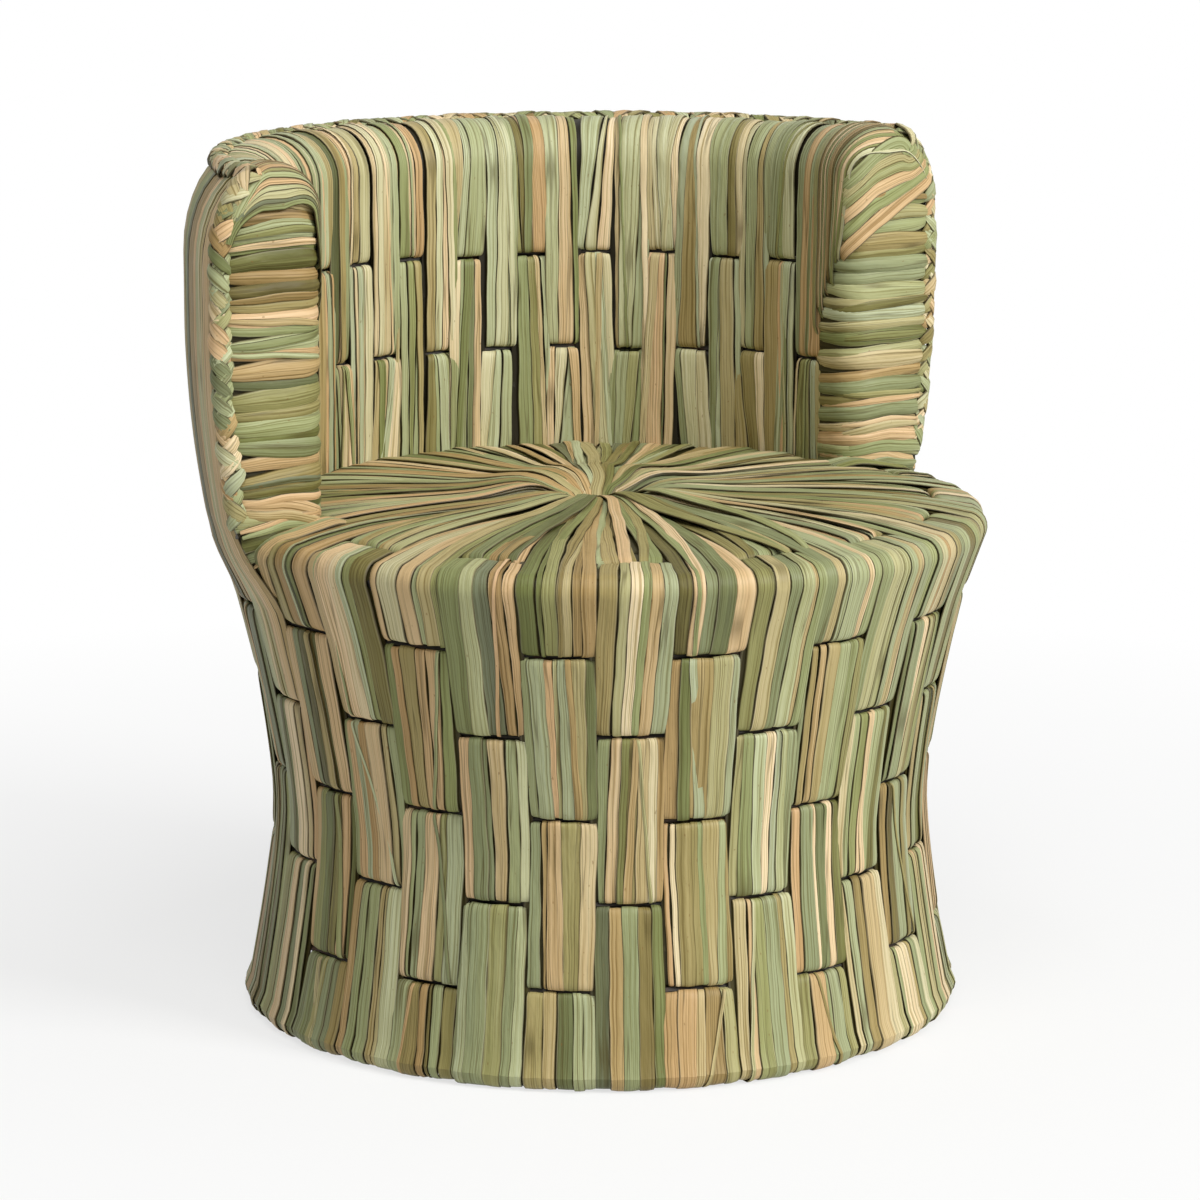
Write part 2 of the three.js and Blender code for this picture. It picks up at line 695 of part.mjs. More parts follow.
// Corners of the arm end in plan at a height: x across the wall, y back from the face
function loopCorners(height) {
  const top = height + windingPitch;
  const outerInset = windingOuterInset + stripThickness / 2;
  const outerRise = top - outerRollFoot;
  const flatReach = outerRise > 0
    ? crownRadius + ellipseReach(rollRadius - outerInset, outerRollHeight - outerInset, outerRise)
    : skinRadius(height) - outerInset;
  const outerAt = (y) => flatReach + armLean(Math.asin(y / flatReach), top);
  const underBand = top > bandFoot;
  const innerInset = (underBand ? bundleThickness + touch : 0) + stripThickness / 2;
  const innerRound = rollRadius - innerInset;
  const innerReach = crownRadius - ellipseReach(innerRound, innerRound, top - innerRollFoot);
  const near = armFaceOffset + stripThickness / 2;
  const far = armFaceOffset + windingDepth - stripThickness / 2;
  const round = Math.min(windingRound, (flatReach - innerReach) / 3);
  return [
    [innerReach, far],
    [innerReach, near + round],
    [innerReach + round / 3, near + round / 3],
    [innerReach + round, near],
    [outerAt(near) - stripThickness, near],
    [outerAt(near), near + stripThickness],
    [outerAt(far), far - stripThickness],
    [outerAt(far) - stripThickness, far],
  ];
}

function windingGeometry(hand) {
  const places = [];
  const corners = loopCorners(windingFoot).length;
  for (let turn = 0; turn < windingLoops; turn++) {
    for (let corner = 0; corner < corners; corner++) {
      const height = windingFoot + (turn + corner / corners) * windingPitch;
      const [x, y] = loopCorners(windingFoot + turn * windingPitch)[corner];
      places.push(new THREE.Vector3(x, y, height + stripHeight / 2));
    }
  }
  places.length -= corners;
  const rings = places.map((place, i) => {
    const along = places[Math.min(i + 1, places.length - 1)].clone().sub(places[Math.max(i - 1, 0)]);
    const out = new THREE.Vector3(along.y, -along.x, 0).normalize().multiplyScalar(stripThickness / 2);
    const rise = new THREE.Vector3(0, 0, stripHeight / 2);
    const ring = [
      place.clone().add(out).sub(rise),
      place.clone().add(out).add(rise),
      place.clone().sub(out).add(rise),
      place.clone().sub(out).sub(rise),
    ];
    for (const point of ring) point.x *= hand;
    return ring;
  });
  let leastGap = Infinity;
  for (let i = 0; i + corners < rings.length; i++) {
    leastGap = Math.min(leastGap, rings[i + corners][0].z - rings[i][1].z);
  }
  console.log(`winding: ${windingLoops - 1} turns, least gap to itself ${leastGap.toFixed(2)} mm`);
  return loftGeometry(rings, squareOutline);
}

for (const [side, hand] of [['right', 1], ['left', -1]]) {
  addPiece(`arm_winding_${side}`, windingGeometry(hand), leafColours[3], 0);
  const points = armPlaces.map(([x, z]) => new THREE.Vector3(hand * x, armFrameY, z));
  addPiece(`arm_frame_${side}`, rodGeometry(points, armRod, rodSides, armFrameSteps), steel, 1);
}

// Edge braid: up the outer edge of one arm, along the top edge, and down the other arm
const braidHalf = [];
const braidFoot = seatHeight + braidDiameter;
const braidMiddle = (braidFoot + backSwellHeight) / 2;
for (const height of [braidFoot, braidMiddle, backSwellHeight, outerRollFoot]) {
  const reach = skinRadius(height) - braidInset + armLean(0, height);
  braidHalf.push(new THREE.Vector3(reach, braidSide, height));
}
for (const turnShare of braidTurnShares) {
  const turn = turnShare * (Math.PI / 2);
  const place = outerRoll(turn, braidInset * turnShare + touch);
  const reach = place.reach + armLean(0, place.height);
  braidHalf.push(new THREE.Vector3(reach, braidSide, place.height));
}
const braidTop = outerRoll(braidTurn, 2 * touch);
const braidArcStart = Math.asin((braidSide + braidDiameter / 2) / braidTop.reach);
const braidArcPoints = 14;
const braidPoints = [...braidHalf];
for (let i = 0; i <= braidArcPoints; i++) {
  const angle = braidArcStart + ((Math.PI - 2 * braidArcStart) * i) / braidArcPoints;
  const lean = armLean(angle, braidTop.height);
  braidPoints.push(around(angle, braidTop.reach + lean, braidTop.height));
}
braidPoints.push(...braidHalf.map((point) => new THREE.Vector3(-point.x, point.y, point.z)).reverse());

const braidPath = new THREE.CatmullRomCurve3(braidPoints, false, 'centripetal');
const braidSteps = 2 * Math.round(braidPath.getLength() / braidStitch);
const braidSection = rodOutline(braidDiameter, 4);
const braidFrames = braidPath.computeFrenetFrames(braidSteps, false);
const braidRings = braidPath.getSpacedPoints(braidSteps).map((place, i) => {
  const swell = i % 2 === 0 ? braidWaistShare : 1;
  return braidSection.map((corner) => place.clone()
    .addScaledVector(braidFrames.normals[i], corner.x * swell)
    .addScaledVector(braidFrames.binormals[i], corner.y * swell));
});
addPiece('edge_braid', loftGeometry(braidRings, braidSection), braidColour, 0);

export default chair;
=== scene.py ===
# %% [markdown]
# # A barrel chair woven from dried leaf
#
# The chair has a waisted drum, a round seat that is pinched in the middle, and a back that stands
# on the rear half of the drum like half a barrel. Everything that shows is flat dried leaf, laid
# in bundles over a hidden frame of steel rod. Each piece is made here as the weaver makes it:
# strip by strip, every strip laid along the way that its bundle takes over the rods.

# %% Load the frame
import math

import bpy
import numpy as np
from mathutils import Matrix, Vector


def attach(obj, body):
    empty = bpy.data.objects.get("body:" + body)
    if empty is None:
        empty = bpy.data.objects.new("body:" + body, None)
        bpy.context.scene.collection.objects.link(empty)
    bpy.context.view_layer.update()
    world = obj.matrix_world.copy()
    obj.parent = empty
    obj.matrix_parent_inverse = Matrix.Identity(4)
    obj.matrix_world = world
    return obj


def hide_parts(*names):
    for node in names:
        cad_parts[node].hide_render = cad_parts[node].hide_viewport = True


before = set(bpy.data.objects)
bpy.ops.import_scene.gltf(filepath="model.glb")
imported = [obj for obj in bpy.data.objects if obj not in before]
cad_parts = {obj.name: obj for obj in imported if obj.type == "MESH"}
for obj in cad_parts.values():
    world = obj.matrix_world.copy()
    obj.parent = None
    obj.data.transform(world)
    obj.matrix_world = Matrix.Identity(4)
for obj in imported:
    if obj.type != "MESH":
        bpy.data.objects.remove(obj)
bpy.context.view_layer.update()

# %% [markdown]
# ## Camera
#
# The drum is round, so each row of the weave is a circle, and in a picture a circle turns into an
# ellipse. How flat those ellipses are gives the camera's height and distance. It stands 3.6 m
# from the middle of the drum, a little over a metre high, and looks slightly down at the left
# front of the chair through a long lens.

# %% The camera
AXIS_Y = -0.0075
CAMERA_PLACE = (-1.978, -3.046 + AXIS_Y, 1.0846)
CAMERA_PITCH = math.radians(11.56)
CAMERA_LENS = 130.07

camera_data = bpy.data.cameras.new("camera")
camera = bpy.data.objects.new("camera", camera_data)
bpy.context.scene.collection.objects.link(camera)
camera_data.sensor_width = 36.0
camera_data.lens = CAMERA_LENS
camera.location = CAMERA_PLACE
heading = math.atan2(CAMERA_PLACE[1] - AXIS_Y, CAMERA_PLACE[0])
camera.rotation_euler = (math.pi / 2 - CAMERA_PITCH, 0.0, heading + math.pi / 2)
bpy.context.scene.camera = camera
print("camera at", CAMERA_PLACE, "lens", CAMERA_LENS, "mm")

# %% [markdown]
# ## Colour and node helpers
#
# Colours are written as they look on a screen, as sRGB hex values, and Blender wants them linear.
# One more small function adds a shader node, sets its properties and links or fills its inputs,
# so that a material reads like a list.

# %% Helpers for materials
def colour(hex_value):
    """A hex colour as Blender's linear RGBA."""
    linear = []
    for shift in (16, 8, 0):
        share = ((hex_value >> shift) & 255) / 255
        linear.append(share / 12.92 if share <= 0.04045 else ((share + 0.055) / 1.055) ** 2.4)
    return (*linear, 1.0)


def add_node(tree, kind, inputs=None, **settings):
    """A node with its settings; each input takes a value or another node's output."""
    new = tree.nodes.new(kind)
    for name, value in settings.items():
        setattr(new, name, value)
    for name, value in (inputs or {}).items():
        if isinstance(value, bpy.types.NodeSocket):
            tree.links.new(value, new.inputs[name])
        else:
            new.inputs[name].default_value = value
    return new


def fill_ramp(ramp_node, stops):
    """Sets the colour stops of a ramp from pairs of place and hex colour."""
    stops_of = ramp_node.color_ramp.elements
    while len(stops_of) < len(stops):
        stops_of.new(0.5)
    for stop, (place, hex_value) in zip(stops_of, stops):
        stop.position = place
        stop.color = colour(hex_value)


def new_material(name):
    """A material with an empty tree, and its shader."""
    material = bpy.data.materials.new(name)
    material.use_nodes = True
    tree = material.node_tree
    tree.nodes.clear()
    shader = add_node(tree, "ShaderNodeBsdfPrincipled")
    add_node(tree, "ShaderNodeOutputMaterial", {"Surface": shader.outputs["BSDF"]})
    return material, tree, shader


# %% [markdown]
# ## Dried leaf
#
# The strips are leaf of tule or palm, split, dried and pressed flat. A dry leaf is satin, not
# glossy, and its fibres run its whole length. No two strips have the same colour: some dried in
# the shade and stayed grey green, some went olive, some straw or peach. A handful of fixed colours
# would soon repeat, so each strip carries two numbers of its own, how light and how warm it is,
# and they pick its colour between a green and a straw ramp. Below zero, warm turns the green
# towards a cool grey.
#
# Patterns lie on the strip's own UV map, which is in metres, so that they bend with the leaf:
# slow blotches, faint bands some 4 mm wide, and fibres drawn at 1.1 mm. Real fibres are 0.3 mm
# apart, which is too fine to show here.

# %% The colour of clean leaf
GREEN_LEAF = [(0.00, 0x43471C), (0.20, 0x6C723E), (0.45, 0x909762), (0.70, 0xAAAF82),
              (1.00, 0xC4CAA6)]
STRAW_LEAF = [(0.00, 0x6A582F), (0.20, 0x937A4C), (0.45, 0xBA996A), (0.70, 0xD6B288),
              (1.00, 0xEAD5B0)]
COOL_GREY = 0x9CA28A
FIBRE_TINTS = [(0.30, 0xBDB59B), (0.47, 0xF0EEE4), (0.64, 0xFFFFFF)]
FIBRE_PITCH = 0.0011
BAND_PITCH = 0.0036
BLOTCH_SIZE = 0.05


def leaf_grain(tree, place, across, along, detail):
    """Noise with a grain of its own size across and along the strip."""
    scaled = add_node(tree, "ShaderNodeMapping",
                      {"Vector": place, "Scale": (1 / across, 1 / along, 1)})
    grain = add_node(tree, "ShaderNodeTexNoise",
                     {"Vector": scaled.outputs["Vector"], "Scale": 1.0, "Detail": detail})
    return grain.outputs["Fac"]


def clean_leaf(tree, light, warm, place, fibre):
    """The strip's own light value, drifting a little, picks a place on both ramps."""
    level = light
    for grain, change in (
            (leaf_grain(tree, place, 0.67 * BLOTCH_SIZE, 2.5 * BLOTCH_SIZE, 2.0), 0.07),
            (leaf_grain(tree, place, BAND_PITCH, 0.30, 1.0), 0.05)):
        drift = add_node(tree, "ShaderNodeMapRange",
                         {"Value": grain, "From Min": 0.3, "From Max": 0.7,
                          "To Min": -change, "To Max": change})
        level = add_node(tree, "ShaderNodeMath", {0: level, 1: drift.outputs["Result"]},
                         operation="ADD").outputs["Value"]
    green = add_node(tree, "ShaderNodeValToRGB", {"Fac": level})
    fill_ramp(green, GREEN_LEAF)
    straw = add_node(tree, "ShaderNodeValToRGB", {"Fac": level})
    fill_ramp(straw, STRAW_LEAF)
    cool = add_node(tree, "ShaderNodeMapRange",
                    {"Value": warm, "From Min": -1.0, "From Max": 0.0,
                     "To Min": 0.65, "To Max": 0.0})
    ashen = add_node(tree, "ShaderNodeMix",
                     {"Factor": cool.outputs["Result"], "A": green.outputs["Color"],
                      "B": colour(COOL_GREY)}, data_type="RGBA")
    dried = add_node(tree, "ShaderNodeMix",
                     {"Factor": warm, "A": ashen.outputs["Result"],
                      "B": straw.outputs["Color"]}, data_type="RGBA")
    streak = add_node(tree, "ShaderNodeValToRGB", {"Fac": fibre})
    fill_ramp(streak, FIBRE_TINTS)
    return add_node(tree, "ShaderNodeMix",
                    {"Factor": 1.0, "A": dried.outputs["Result"], "B": streak.outputs["Color"]},
                    data_type="RGBA", blend_type="MULTIPLY").outputs["Result"]


# %% [markdown]
# The clean leaf then gets its marks. Thin dark lines along it, where it was folded, are painted
# shade in the creases. A few brown specks come from the drying. One edge gets a painted highlight,
# and both edges are darkened with painted shade, which draws the dark lines between strips. Strips
# deep inside have a light value below zero, and are painted nearly black: painted shade in the
# gaps.
# Every mark works in the same way: over a range of some value, the leaf takes on another colour.
# Fibres, and shallow dents from the hand that pulled the strip, are bumps as well.

# %% The leaf material
CREASE_PITCH = 0.0060
SPECK_SIZE = 0.0025
DENT_SIZE = 0.0070


def leaf_material(name, roughness):
    """Dry leaf, satin: a light and a warm value per strip, then its marks, with painted shade and
    a painted highlight, fibres and dents.
    """
    material, tree, shader = new_material(name)
    light, warm, edge = (
        add_node(tree, "ShaderNodeAttribute", attribute_name=value).outputs["Fac"]
        for value in ("light", "warm", "edge"))
    place = add_node(tree, "ShaderNodeUVMap", uv_map="leaf").outputs["UV"]
    fibre = leaf_grain(tree, place, FIBRE_PITCH, 0.20, 1.0)
    fold = leaf_grain(tree, place, CREASE_PITCH, 0.35, 0.0)
    beside = add_node(tree, "ShaderNodeMath", {0: fold, 1: 0.5}, operation="SUBTRACT")
    painted_crease_shade = add_node(tree, "ShaderNodeMath", {0: beside.outputs["Value"]}, operation="ABSOLUTE")
    speck = leaf_grain(tree, place, SPECK_SIZE, 2.4 * SPECK_SIZE, 1.0)
    # Both edges are darkened: painted shade, the dark lines between strips.
    painted_edge_shade = add_node(tree, "ShaderNodeMath", {0: edge}, operation="ABSOLUTE")
    skin = clean_leaf(tree, light, warm, place, fibre)
    # The marks: creases are painted shade in the folds, specks are stains from drying, the pale
    # edge is a painted highlight, the dark edges are painted shade between strips, and a light
    # value below zero is painted shade on strips deep inside.
    for value, start, end, low, high, tint in (
            (painted_crease_shade.outputs["Value"], 0.004, 0.026, 0.52, 0.00, 0x4A4019),
            (speck, 0.73, 0.78, 0.00, 0.50, 0x77572A),
            (edge, 0.78, 0.86, 0.00, 0.16, 0xE6DDBB),
            (painted_edge_shade.outputs["Value"], 0.83, 0.96, 0.00, 0.88, 0x362B0B),
            (light, -0.80, 0.00, 0.93, 0.00, 0x171205)):
        share = add_node(tree, "ShaderNodeMapRange",
                         {"Value": value, "From Min": start, "From Max": end,
                          "To Min": low, "To Max": high})
        skin = add_node(tree, "ShaderNodeMix",
                        {"Factor": share.outputs["Result"], "A": skin, "B": colour(tint)},
                        data_type="RGBA").outputs["Result"]
    dents = add_node(tree, "ShaderNodeBump",
                     {"Height": leaf_grain(tree, place, DENT_SIZE, 3.5 * DENT_SIZE, 2.0),
                      "Strength": 0.55, "Distance": 0.0024})
    bump = add_node(tree, "ShaderNodeBump",
                    {"Height": fibre, "Strength": 0.35, "Distance": 0.0006,
                     "Normal": dents.outputs["Normal"]})
    tree.links.new(skin, shader.inputs["Base Color"])
    tree.links.new(bump.outputs["Normal"], shader.inputs["Normal"])
    shader.inputs["Roughness"].default_value = roughness
    shader.inputs["Specular IOR Level"].default_value = 0.24
    return material


drum_leaf = leaf_material("dry_tule_leaf_drum", 0.50)
back_leaf = leaf_material("dry_tule_leaf_back", 0.50)
cord_leaf = leaf_material("dry_tule_leaf_braid", 0.52)
print("leaf materials", drum_leaf.name, back_leaf.name, cord_leaf.name)

# %% [markdown]
# ## The hidden steel
#
# The rods inside are plain round mild steel, bent and welded, and left dark from the mill. Only
# slits between bundles show them. The scale on such steel is brown grey and rough in patches.

# %% The steel material
def steel_material():
    """Dark mill scale on round rod."""
    material, tree, shader = new_material("mill_scale_steel_rod")
    place = add_node(tree, "ShaderNodeTexCoord").outputs["Object"]
    patches = add_node(tree, "ShaderNodeTexNoise", {"Vector": place, "Scale": 45.0, "Detail": 4.0})
    ramp = add_node(tree, "ShaderNodeValToRGB", {"Fac": patches.outputs["Fac"]})
    fill_ramp(ramp, [(0.35, 0x24221F), (0.55, 0x38342E), (0.75, 0x5A4030)])
    rough = add_node(tree, "ShaderNodeMapRange",
                     {"Value": patches.outputs["Fac"], "To Min": 0.45, "To Max": 0.8})
    tree.links.new(ramp.outputs["Color"], shader.inputs["Base Color"])
    tree.links.new(rough.outputs["Result"], shader.inputs["Roughness"])
    shader.inputs["Metallic"].default_value = 0.6
    return material


steel = steel_material()
rods = [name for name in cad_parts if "bundle" not in name and "winding" not in name
        and name not in ("inner_back_weave", "edge_braid")]
for name in rods:
    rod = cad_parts[name]
    rod.data.materials.clear()
    rod.data.materials.append(steel)
print("steel rods", len(rods))

# %% [markdown]
# ## Outline of the chair
#
# A few functions give the skin of the chair at any place. They hold the same sizes as the solids,
# in metres. The drum narrows to a waist, the back swells a little, and the wall of the back ends
# in a rolled edge: half an ellipse outside and a quarter of a circle inside. Towards the arm ends
# the outer face leans out, so that the wall is thicker there. A modelled body with the strips
# wrapped onto it would do for the skin. But strips also run behind hoops and over each other,
# and for that a formula is handier than a mesh.

# %% The outline
SEAT_HEIGHT = 0.428
CROWN_HEIGHT = 0.728
RIM_RADIUS = 0.329
WAIST_RADIUS = 0.280
WAIST_HEIGHT = 0.1834
FLOOR_RADIUS = 0.307
FLARE_POWER = 1.5
BACK_RADIUS = 0.344
SWELL_HEIGHT = 0.598
WALL = 0.081
ROLL_DROP = 0.080
ARM_FLARE = 0.018
FLARE_TURN = math.pi / 4
FLARE_RISE = (0.368, 0.438)
SEAT_CROWN = 0.0125
RIM_BEND = 0.0155
RIM_LEAN = math.radians(19.1)
RIM_MIDDLE = 0.312
TOP_HOOP = 0.358
RIM_SWELL = 0.0037
ROLL_RADIUS = WALL / 2
INNER_RADIUS = BACK_RADIUS - WALL
CREST_RADIUS = INNER_RADIUS + ROLL_RADIUS
OUTER_ROLL_FOOT = CROWN_HEIGHT - ROLL_DROP
INNER_ROLL_FOOT = CROWN_HEIGHT - ROLL_RADIUS


# %% The skin of the chair
def skin_radius(height):
    """Outer radius of the drum and the back at a height."""
    if height > SEAT_HEIGHT:
        climb = min((height - SEAT_HEIGHT) / (SWELL_HEIGHT - SEAT_HEIGHT), 1)
        return RIM_RADIUS + (BACK_RADIUS - RIM_RADIUS) * (1 - (1 - climb) ** 2)
    upper = height > WAIST_HEIGHT
    end_radius = RIM_RADIUS if upper else FLOOR_RADIUS
    reach = SEAT_HEIGHT - WAIST_HEIGHT if upper else WAIST_HEIGHT
    swell = min((height - TOP_HOOP) / 0.0494, (SEAT_HEIGHT - height) / 0.0206)
    return RIM_SWELL * max(swell, 0) + WAIST_RADIUS + (end_radius - WAIST_RADIUS) * (
        abs(height - WAIST_HEIGHT) / reach) ** FLARE_POWER


def arm_lean(angle, height):
    """How far the outer face of the back leans out there: most at the arm ends."""
    behind = np.minimum(angle, math.pi - angle)
    side = np.clip(1 - behind / FLARE_TURN, 0, 1) ** 2
    rise = np.clip((height - FLARE_RISE[0]) / (FLARE_RISE[1] - FLARE_RISE[0]), 0, 1)
    crown = np.sqrt(1 - np.clip((height - OUTER_ROLL_FOOT) / ROLL_DROP, 0, 1) ** 2)
    return ARM_FLARE * side * rise * crown


def outer_roll(turn, inset):
    """Reach and height on the outer half of the rolled edge, a turn behind its crest."""
    reach = CREST_RADIUS + (ROLL_RADIUS - inset) * math.sin(turn)
    return reach, OUTER_ROLL_FOOT + (ROLL_DROP - inset) * math.cos(turn)


def inner_roll(turn, inset):
    """Reach and height on the inner half of the rolled edge, a turn before its crest."""
    reach = CREST_RADIUS - (ROLL_RADIUS - inset) * math.sin(turn)
    return reach, INNER_ROLL_FOOT + (ROLL_RADIUS - inset) * math.cos(turn)


def seat_surface(reach):
    """Height of the seat: it rises quickly from the rim and then stays nearly level."""
    return SEAT_HEIGHT + SEAT_CROWN * (1 - min(reach / RIM_MIDDLE, 1) ** 5)


print("radius at floor, waist and rim",
      [round(skin_radius(height), 4) for height in (0.0, WAIST_HEIGHT, SEAT_HEIGHT)])


# %% [markdown]
# ## How a strip is laid
#
# A strip starts as a flat grid, a few cells across and many along. This blank is made once with
# the grid tool. In edit mode its inner lines are moved out and its edges are lowered, so that the
# leaf is flat on top and turned down at its very edges. Every strip is a copy. To lay it, each row
# of the grid moves to one station of the strip's way: a point, the direction across the strip
# there, and a width. A curve with a flat bevel would be quicker, but all its strips would have
# the same section, and no map in metres for the grain of the leaf.

# %% The blank
blanks = {}
LEAF_THICKNESS = 0.0012


def select_where(thing, test):
    """Selects the points of a mesh that pass a test, from object mode, and opens edit mode."""
    bpy.ops.object.mode_set(mode="EDIT")
    bpy.ops.mesh.select_mode(type="VERT")
    bpy.ops.mesh.select_all(action="DESELECT")
    bpy.ops.object.mode_set(mode="OBJECT")
    for vertex in thing.data.vertices:
        vertex.select = bool(test(vertex.co))
    bpy.ops.object.mode_set(mode="EDIT")


def leaf_blank(stations, cells):
    """A grid with one row of points per station: flat on top, its edges one unit lower."""
    key = (stations, cells)
    if key not in blanks:
        bpy.ops.object.select_all(action="DESELECT")
        bpy.ops.mesh.primitive_grid_add(x_subdivisions=cells, y_subdivisions=stations - 1,
                                        size=1.0)
        blank = bpy.context.object
        blank.name = f"blank_{stations}_{cells}"
        blank.data.uv_layers[0].name = "leaf"
        if cells > 2:
            line = 0.5 - 1 / cells
            select_where(blank, lambda co: abs(abs(co.x) - line) < 0.01)
            bpy.ops.transform.resize(value=(0.45 / line, 1.0, 1.0))
            bpy.ops.transform.translate(value=(0.0, 0.0, -0.12))
            bpy.ops.object.mode_set(mode="OBJECT")
        if cells > 4:
            select_where(blank, lambda co: abs(abs(co.x) - 1 / cells) < 0.01)
            bpy.ops.transform.resize(value=(0.25 * cells, 1.0, 1.0))
            bpy.ops.object.mode_set(mode="OBJECT")
        select_where(blank, lambda co: abs(co.x) > 0.49)
        bpy.ops.transform.translate(value=(0.0, 0.0, -1.0))
        bpy.ops.object.mode_set(mode="OBJECT")
        blanks[key] = blank
    return blanks[key]


# %% Directions and smooth ways
def normalised(vectors):
    """Every row at length one."""
    return vectors / np.maximum(np.linalg.norm(vectors, axis=1, keepdims=True), 1e-12)


def side_of(points, out):
    """The direction across a strip that lies with its face to the given way out."""
    return normalised(np.cross(np.gradient(np.asarray(points, float), axis=0), out))


def smooth_way(places, count):
    """Points along a smooth curve through a few places."""
    places = np.asarray(places, float)
    places = np.vstack([2 * places[0] - places[1], places, 2 * places[-1] - places[-2]])
    share = np.linspace(0, len(places) - 3, count)
    k = np.minimum(share.astype(int), len(places) - 4)
    share = (share - k)[:, None]
    a, b, c, d = places[k], places[k + 1], places[k + 2], places[k + 3]
    return b + 0.5 * share * (c - a + share * (2 * a - 5 * b + 4 * c - d
                                               + share * (3 * b - a - 3 * c + d)))


# %% [markdown]
# No leaf is quite straight or quite even, so the way of a strip wanders by a third of a
# millimetre and its width swells a little. A soft strip is also puffed up along its middle, and
# where a strip turns under the chair it is pressed flat on the floor. Its light and warm values
# and its place across are kept as attributes, which the leaf material reads.

# %% Laying a strip
def lay_strip(points, side, width, finish, rng, drop=0.0010, puff=0.0, twist=0.0, cells=4):
    """One strip: a copy of the blank, each row moved to its station."""
    points = np.asarray(points, float)
    count = len(points)
    side = np.broadcast_to(np.asarray(side, float), (count, 3))
    width = np.broadcast_to(np.asarray(width, float), (count,))
    twist = np.broadcast_to(np.asarray(twist, float), (count,))
    puff = np.broadcast_to(np.asarray(puff, float), (count,))
    length = np.concatenate([[0], np.cumsum(np.linalg.norm(np.diff(points, axis=0), axis=1))])
    waves = length[:, None] / rng.uniform((0.010, 0.007), (0.018, 0.012)) + rng.uniform(0, 6, 2)
    width = width * (1 + 0.045 * np.sin(waves[:, 0]))
    points = points + side * (0.00035 * np.sin(waves[:, 1]))[:, None]
    along = normalised(np.gradient(points, axis=0))
    face = normalised(np.cross(side, along))
    across = np.cross(along, face)
    turned = across * np.cos(twist)[:, None] + face * np.sin(twist)[:, None]
    face = face * np.cos(twist)[:, None] - across * np.sin(twist)[:, None]
    blank = leaf_blank(count, cells)
    strip = blank.copy()
    strip.data = blank.data.copy()
    bpy.context.scene.collection.objects.link(strip)
    flat = np.empty(len(strip.data.vertices) * 3)
    strip.data.vertices.foreach_get("co", flat)
    flat = flat.reshape(-1, 3)
    share = flat[:, 0]
    row = np.rint((flat[:, 1] + 0.5) * (count - 1)).astype(int)
    rise = drop * flat[:, 2] + puff[row] * (1 - (2 * share) ** 2)
    place = points[row] + turned[row] * (share * width[row])[:, None] + face[row] * rise[:, None]
    place[:, 2] = np.maximum(place[:, 2], 0.0)
    strip.data.vertices.foreach_set("co", place.ravel())
    start = rng.uniform(0, 9, 2)
    loops = np.empty(len(strip.data.loops), dtype=np.int32)
    strip.data.loops.foreach_get("vertex_index", loops)
    uv = np.stack([share * width.mean() + start[0], length[row] + start[1]], axis=1)[loops]
    strip.data.uv_layers["leaf"].data.foreach_set("uv", uv.ravel())
    # One edge, picked at random, gets a painted highlight in the leaf material.
    painted_highlight_side = rng.choice([-2, 2])
    for name, values in (("light", np.full(len(flat), finish[0])),
                         ("warm", np.full(len(flat), finish[1])), ("edge", painted_highlight_side * share)):
        layer = strip.data.attributes.new(name, "FLOAT", "POINT")
        layer.data.foreach_set("value", values.astype(np.float32))
    return strip


# %% [markdown]
# The strips of one bundle are joined, and a solidify modifier gives them the thickness of a
# folded leaf. The piece then takes the place of its solid in the frame.

# %% Binding a piece
def bind(strips, name, material, node, thickness=LEAF_THICKNESS):
    """Joins strips into one piece, gives the leaf its thickness, and puts it in the frame."""
    bpy.ops.object.select_all(action="DESELECT")
    for strip in strips:
        strip.select_set(True)
    bpy.context.view_layer.objects.active = strips[0]
    if len(strips) > 1:
        bpy.ops.object.join()
    piece = bpy.context.view_layer.objects.active
    piece.name = name
    piece.data.name = name
    piece.data.materials.clear()
    piece.data.materials.append(material)
    solid = piece.modifiers.new("leaf thickness", "SOLIDIFY")
    solid.thickness = thickness
    solid.offset = -1.0
    bpy.ops.object.modifier_apply(modifier=solid.name)
    bpy.ops.object.shade_smooth_by_angle(angle=math.radians(32))
    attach(piece, "root")
    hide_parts(node)
    return piece


# %% [markdown]
# The leaf was bundled as it came: about a quarter of the strips are straw or peach, a quarter
# lie between, and half are green, from olive to a cool grey.

# %% How light and how warm
def leaf_finish(rng, bias, straw=1.0):
    """How light and how warm one strip is. The bias is the lightness of its bundle, and straw
    how often a strip is straw, set against the drum."""
    light = rng.normal(bias, 0.21)
    pick = rng.random() / straw
    if pick < 0.25:
        return float(np.clip(light + 0.10, 0.30, 0.96)), float(rng.uniform(0.74, 1.0))
    if pick < 0.48:
        return float(np.clip(light, 0.10, 0.95)), float(rng.uniform(0.34, 0.66))
    return float(np.clip(light, 0.04, 0.95)), float(rng.uniform(-0.70, 0.30))


# %% [markdown]
# ## The way of a bundle up the drum
#
# Each bundle starts inside the floor ring, goes round it, and climbs the skin. At every second
# hoop it dives behind the steel: its end turns in sharply just below the hoop, runs behind it and
# comes out just above. Neighbours dive at the other hoops, so the face of the drum is a wall of
# blocks, each two rows high and set off by one row. A way is a list of stations, each with its
# reach from the axis, its height, the way out of the wall there, and how deep it is in a dive.
# A smooth drum with a drawn pattern would be far lighter, but the ends of the blocks turn in by
# more than a centimetre, and those dark, deep ends are what the eye takes for weaving.

# %% The way up the drum
COLUMNS = 32
COLUMN = 2 * math.pi / COLUMNS
HOOP_PITCH = 0.070
LOWEST_HOOP = 0.078
FLOOR_TURN = 0.0123
FLOOR_RING = (0.2947, FLOOR_TURN)
DIVE_BEFORE = 0.024
DIVE_PAST = 0.030
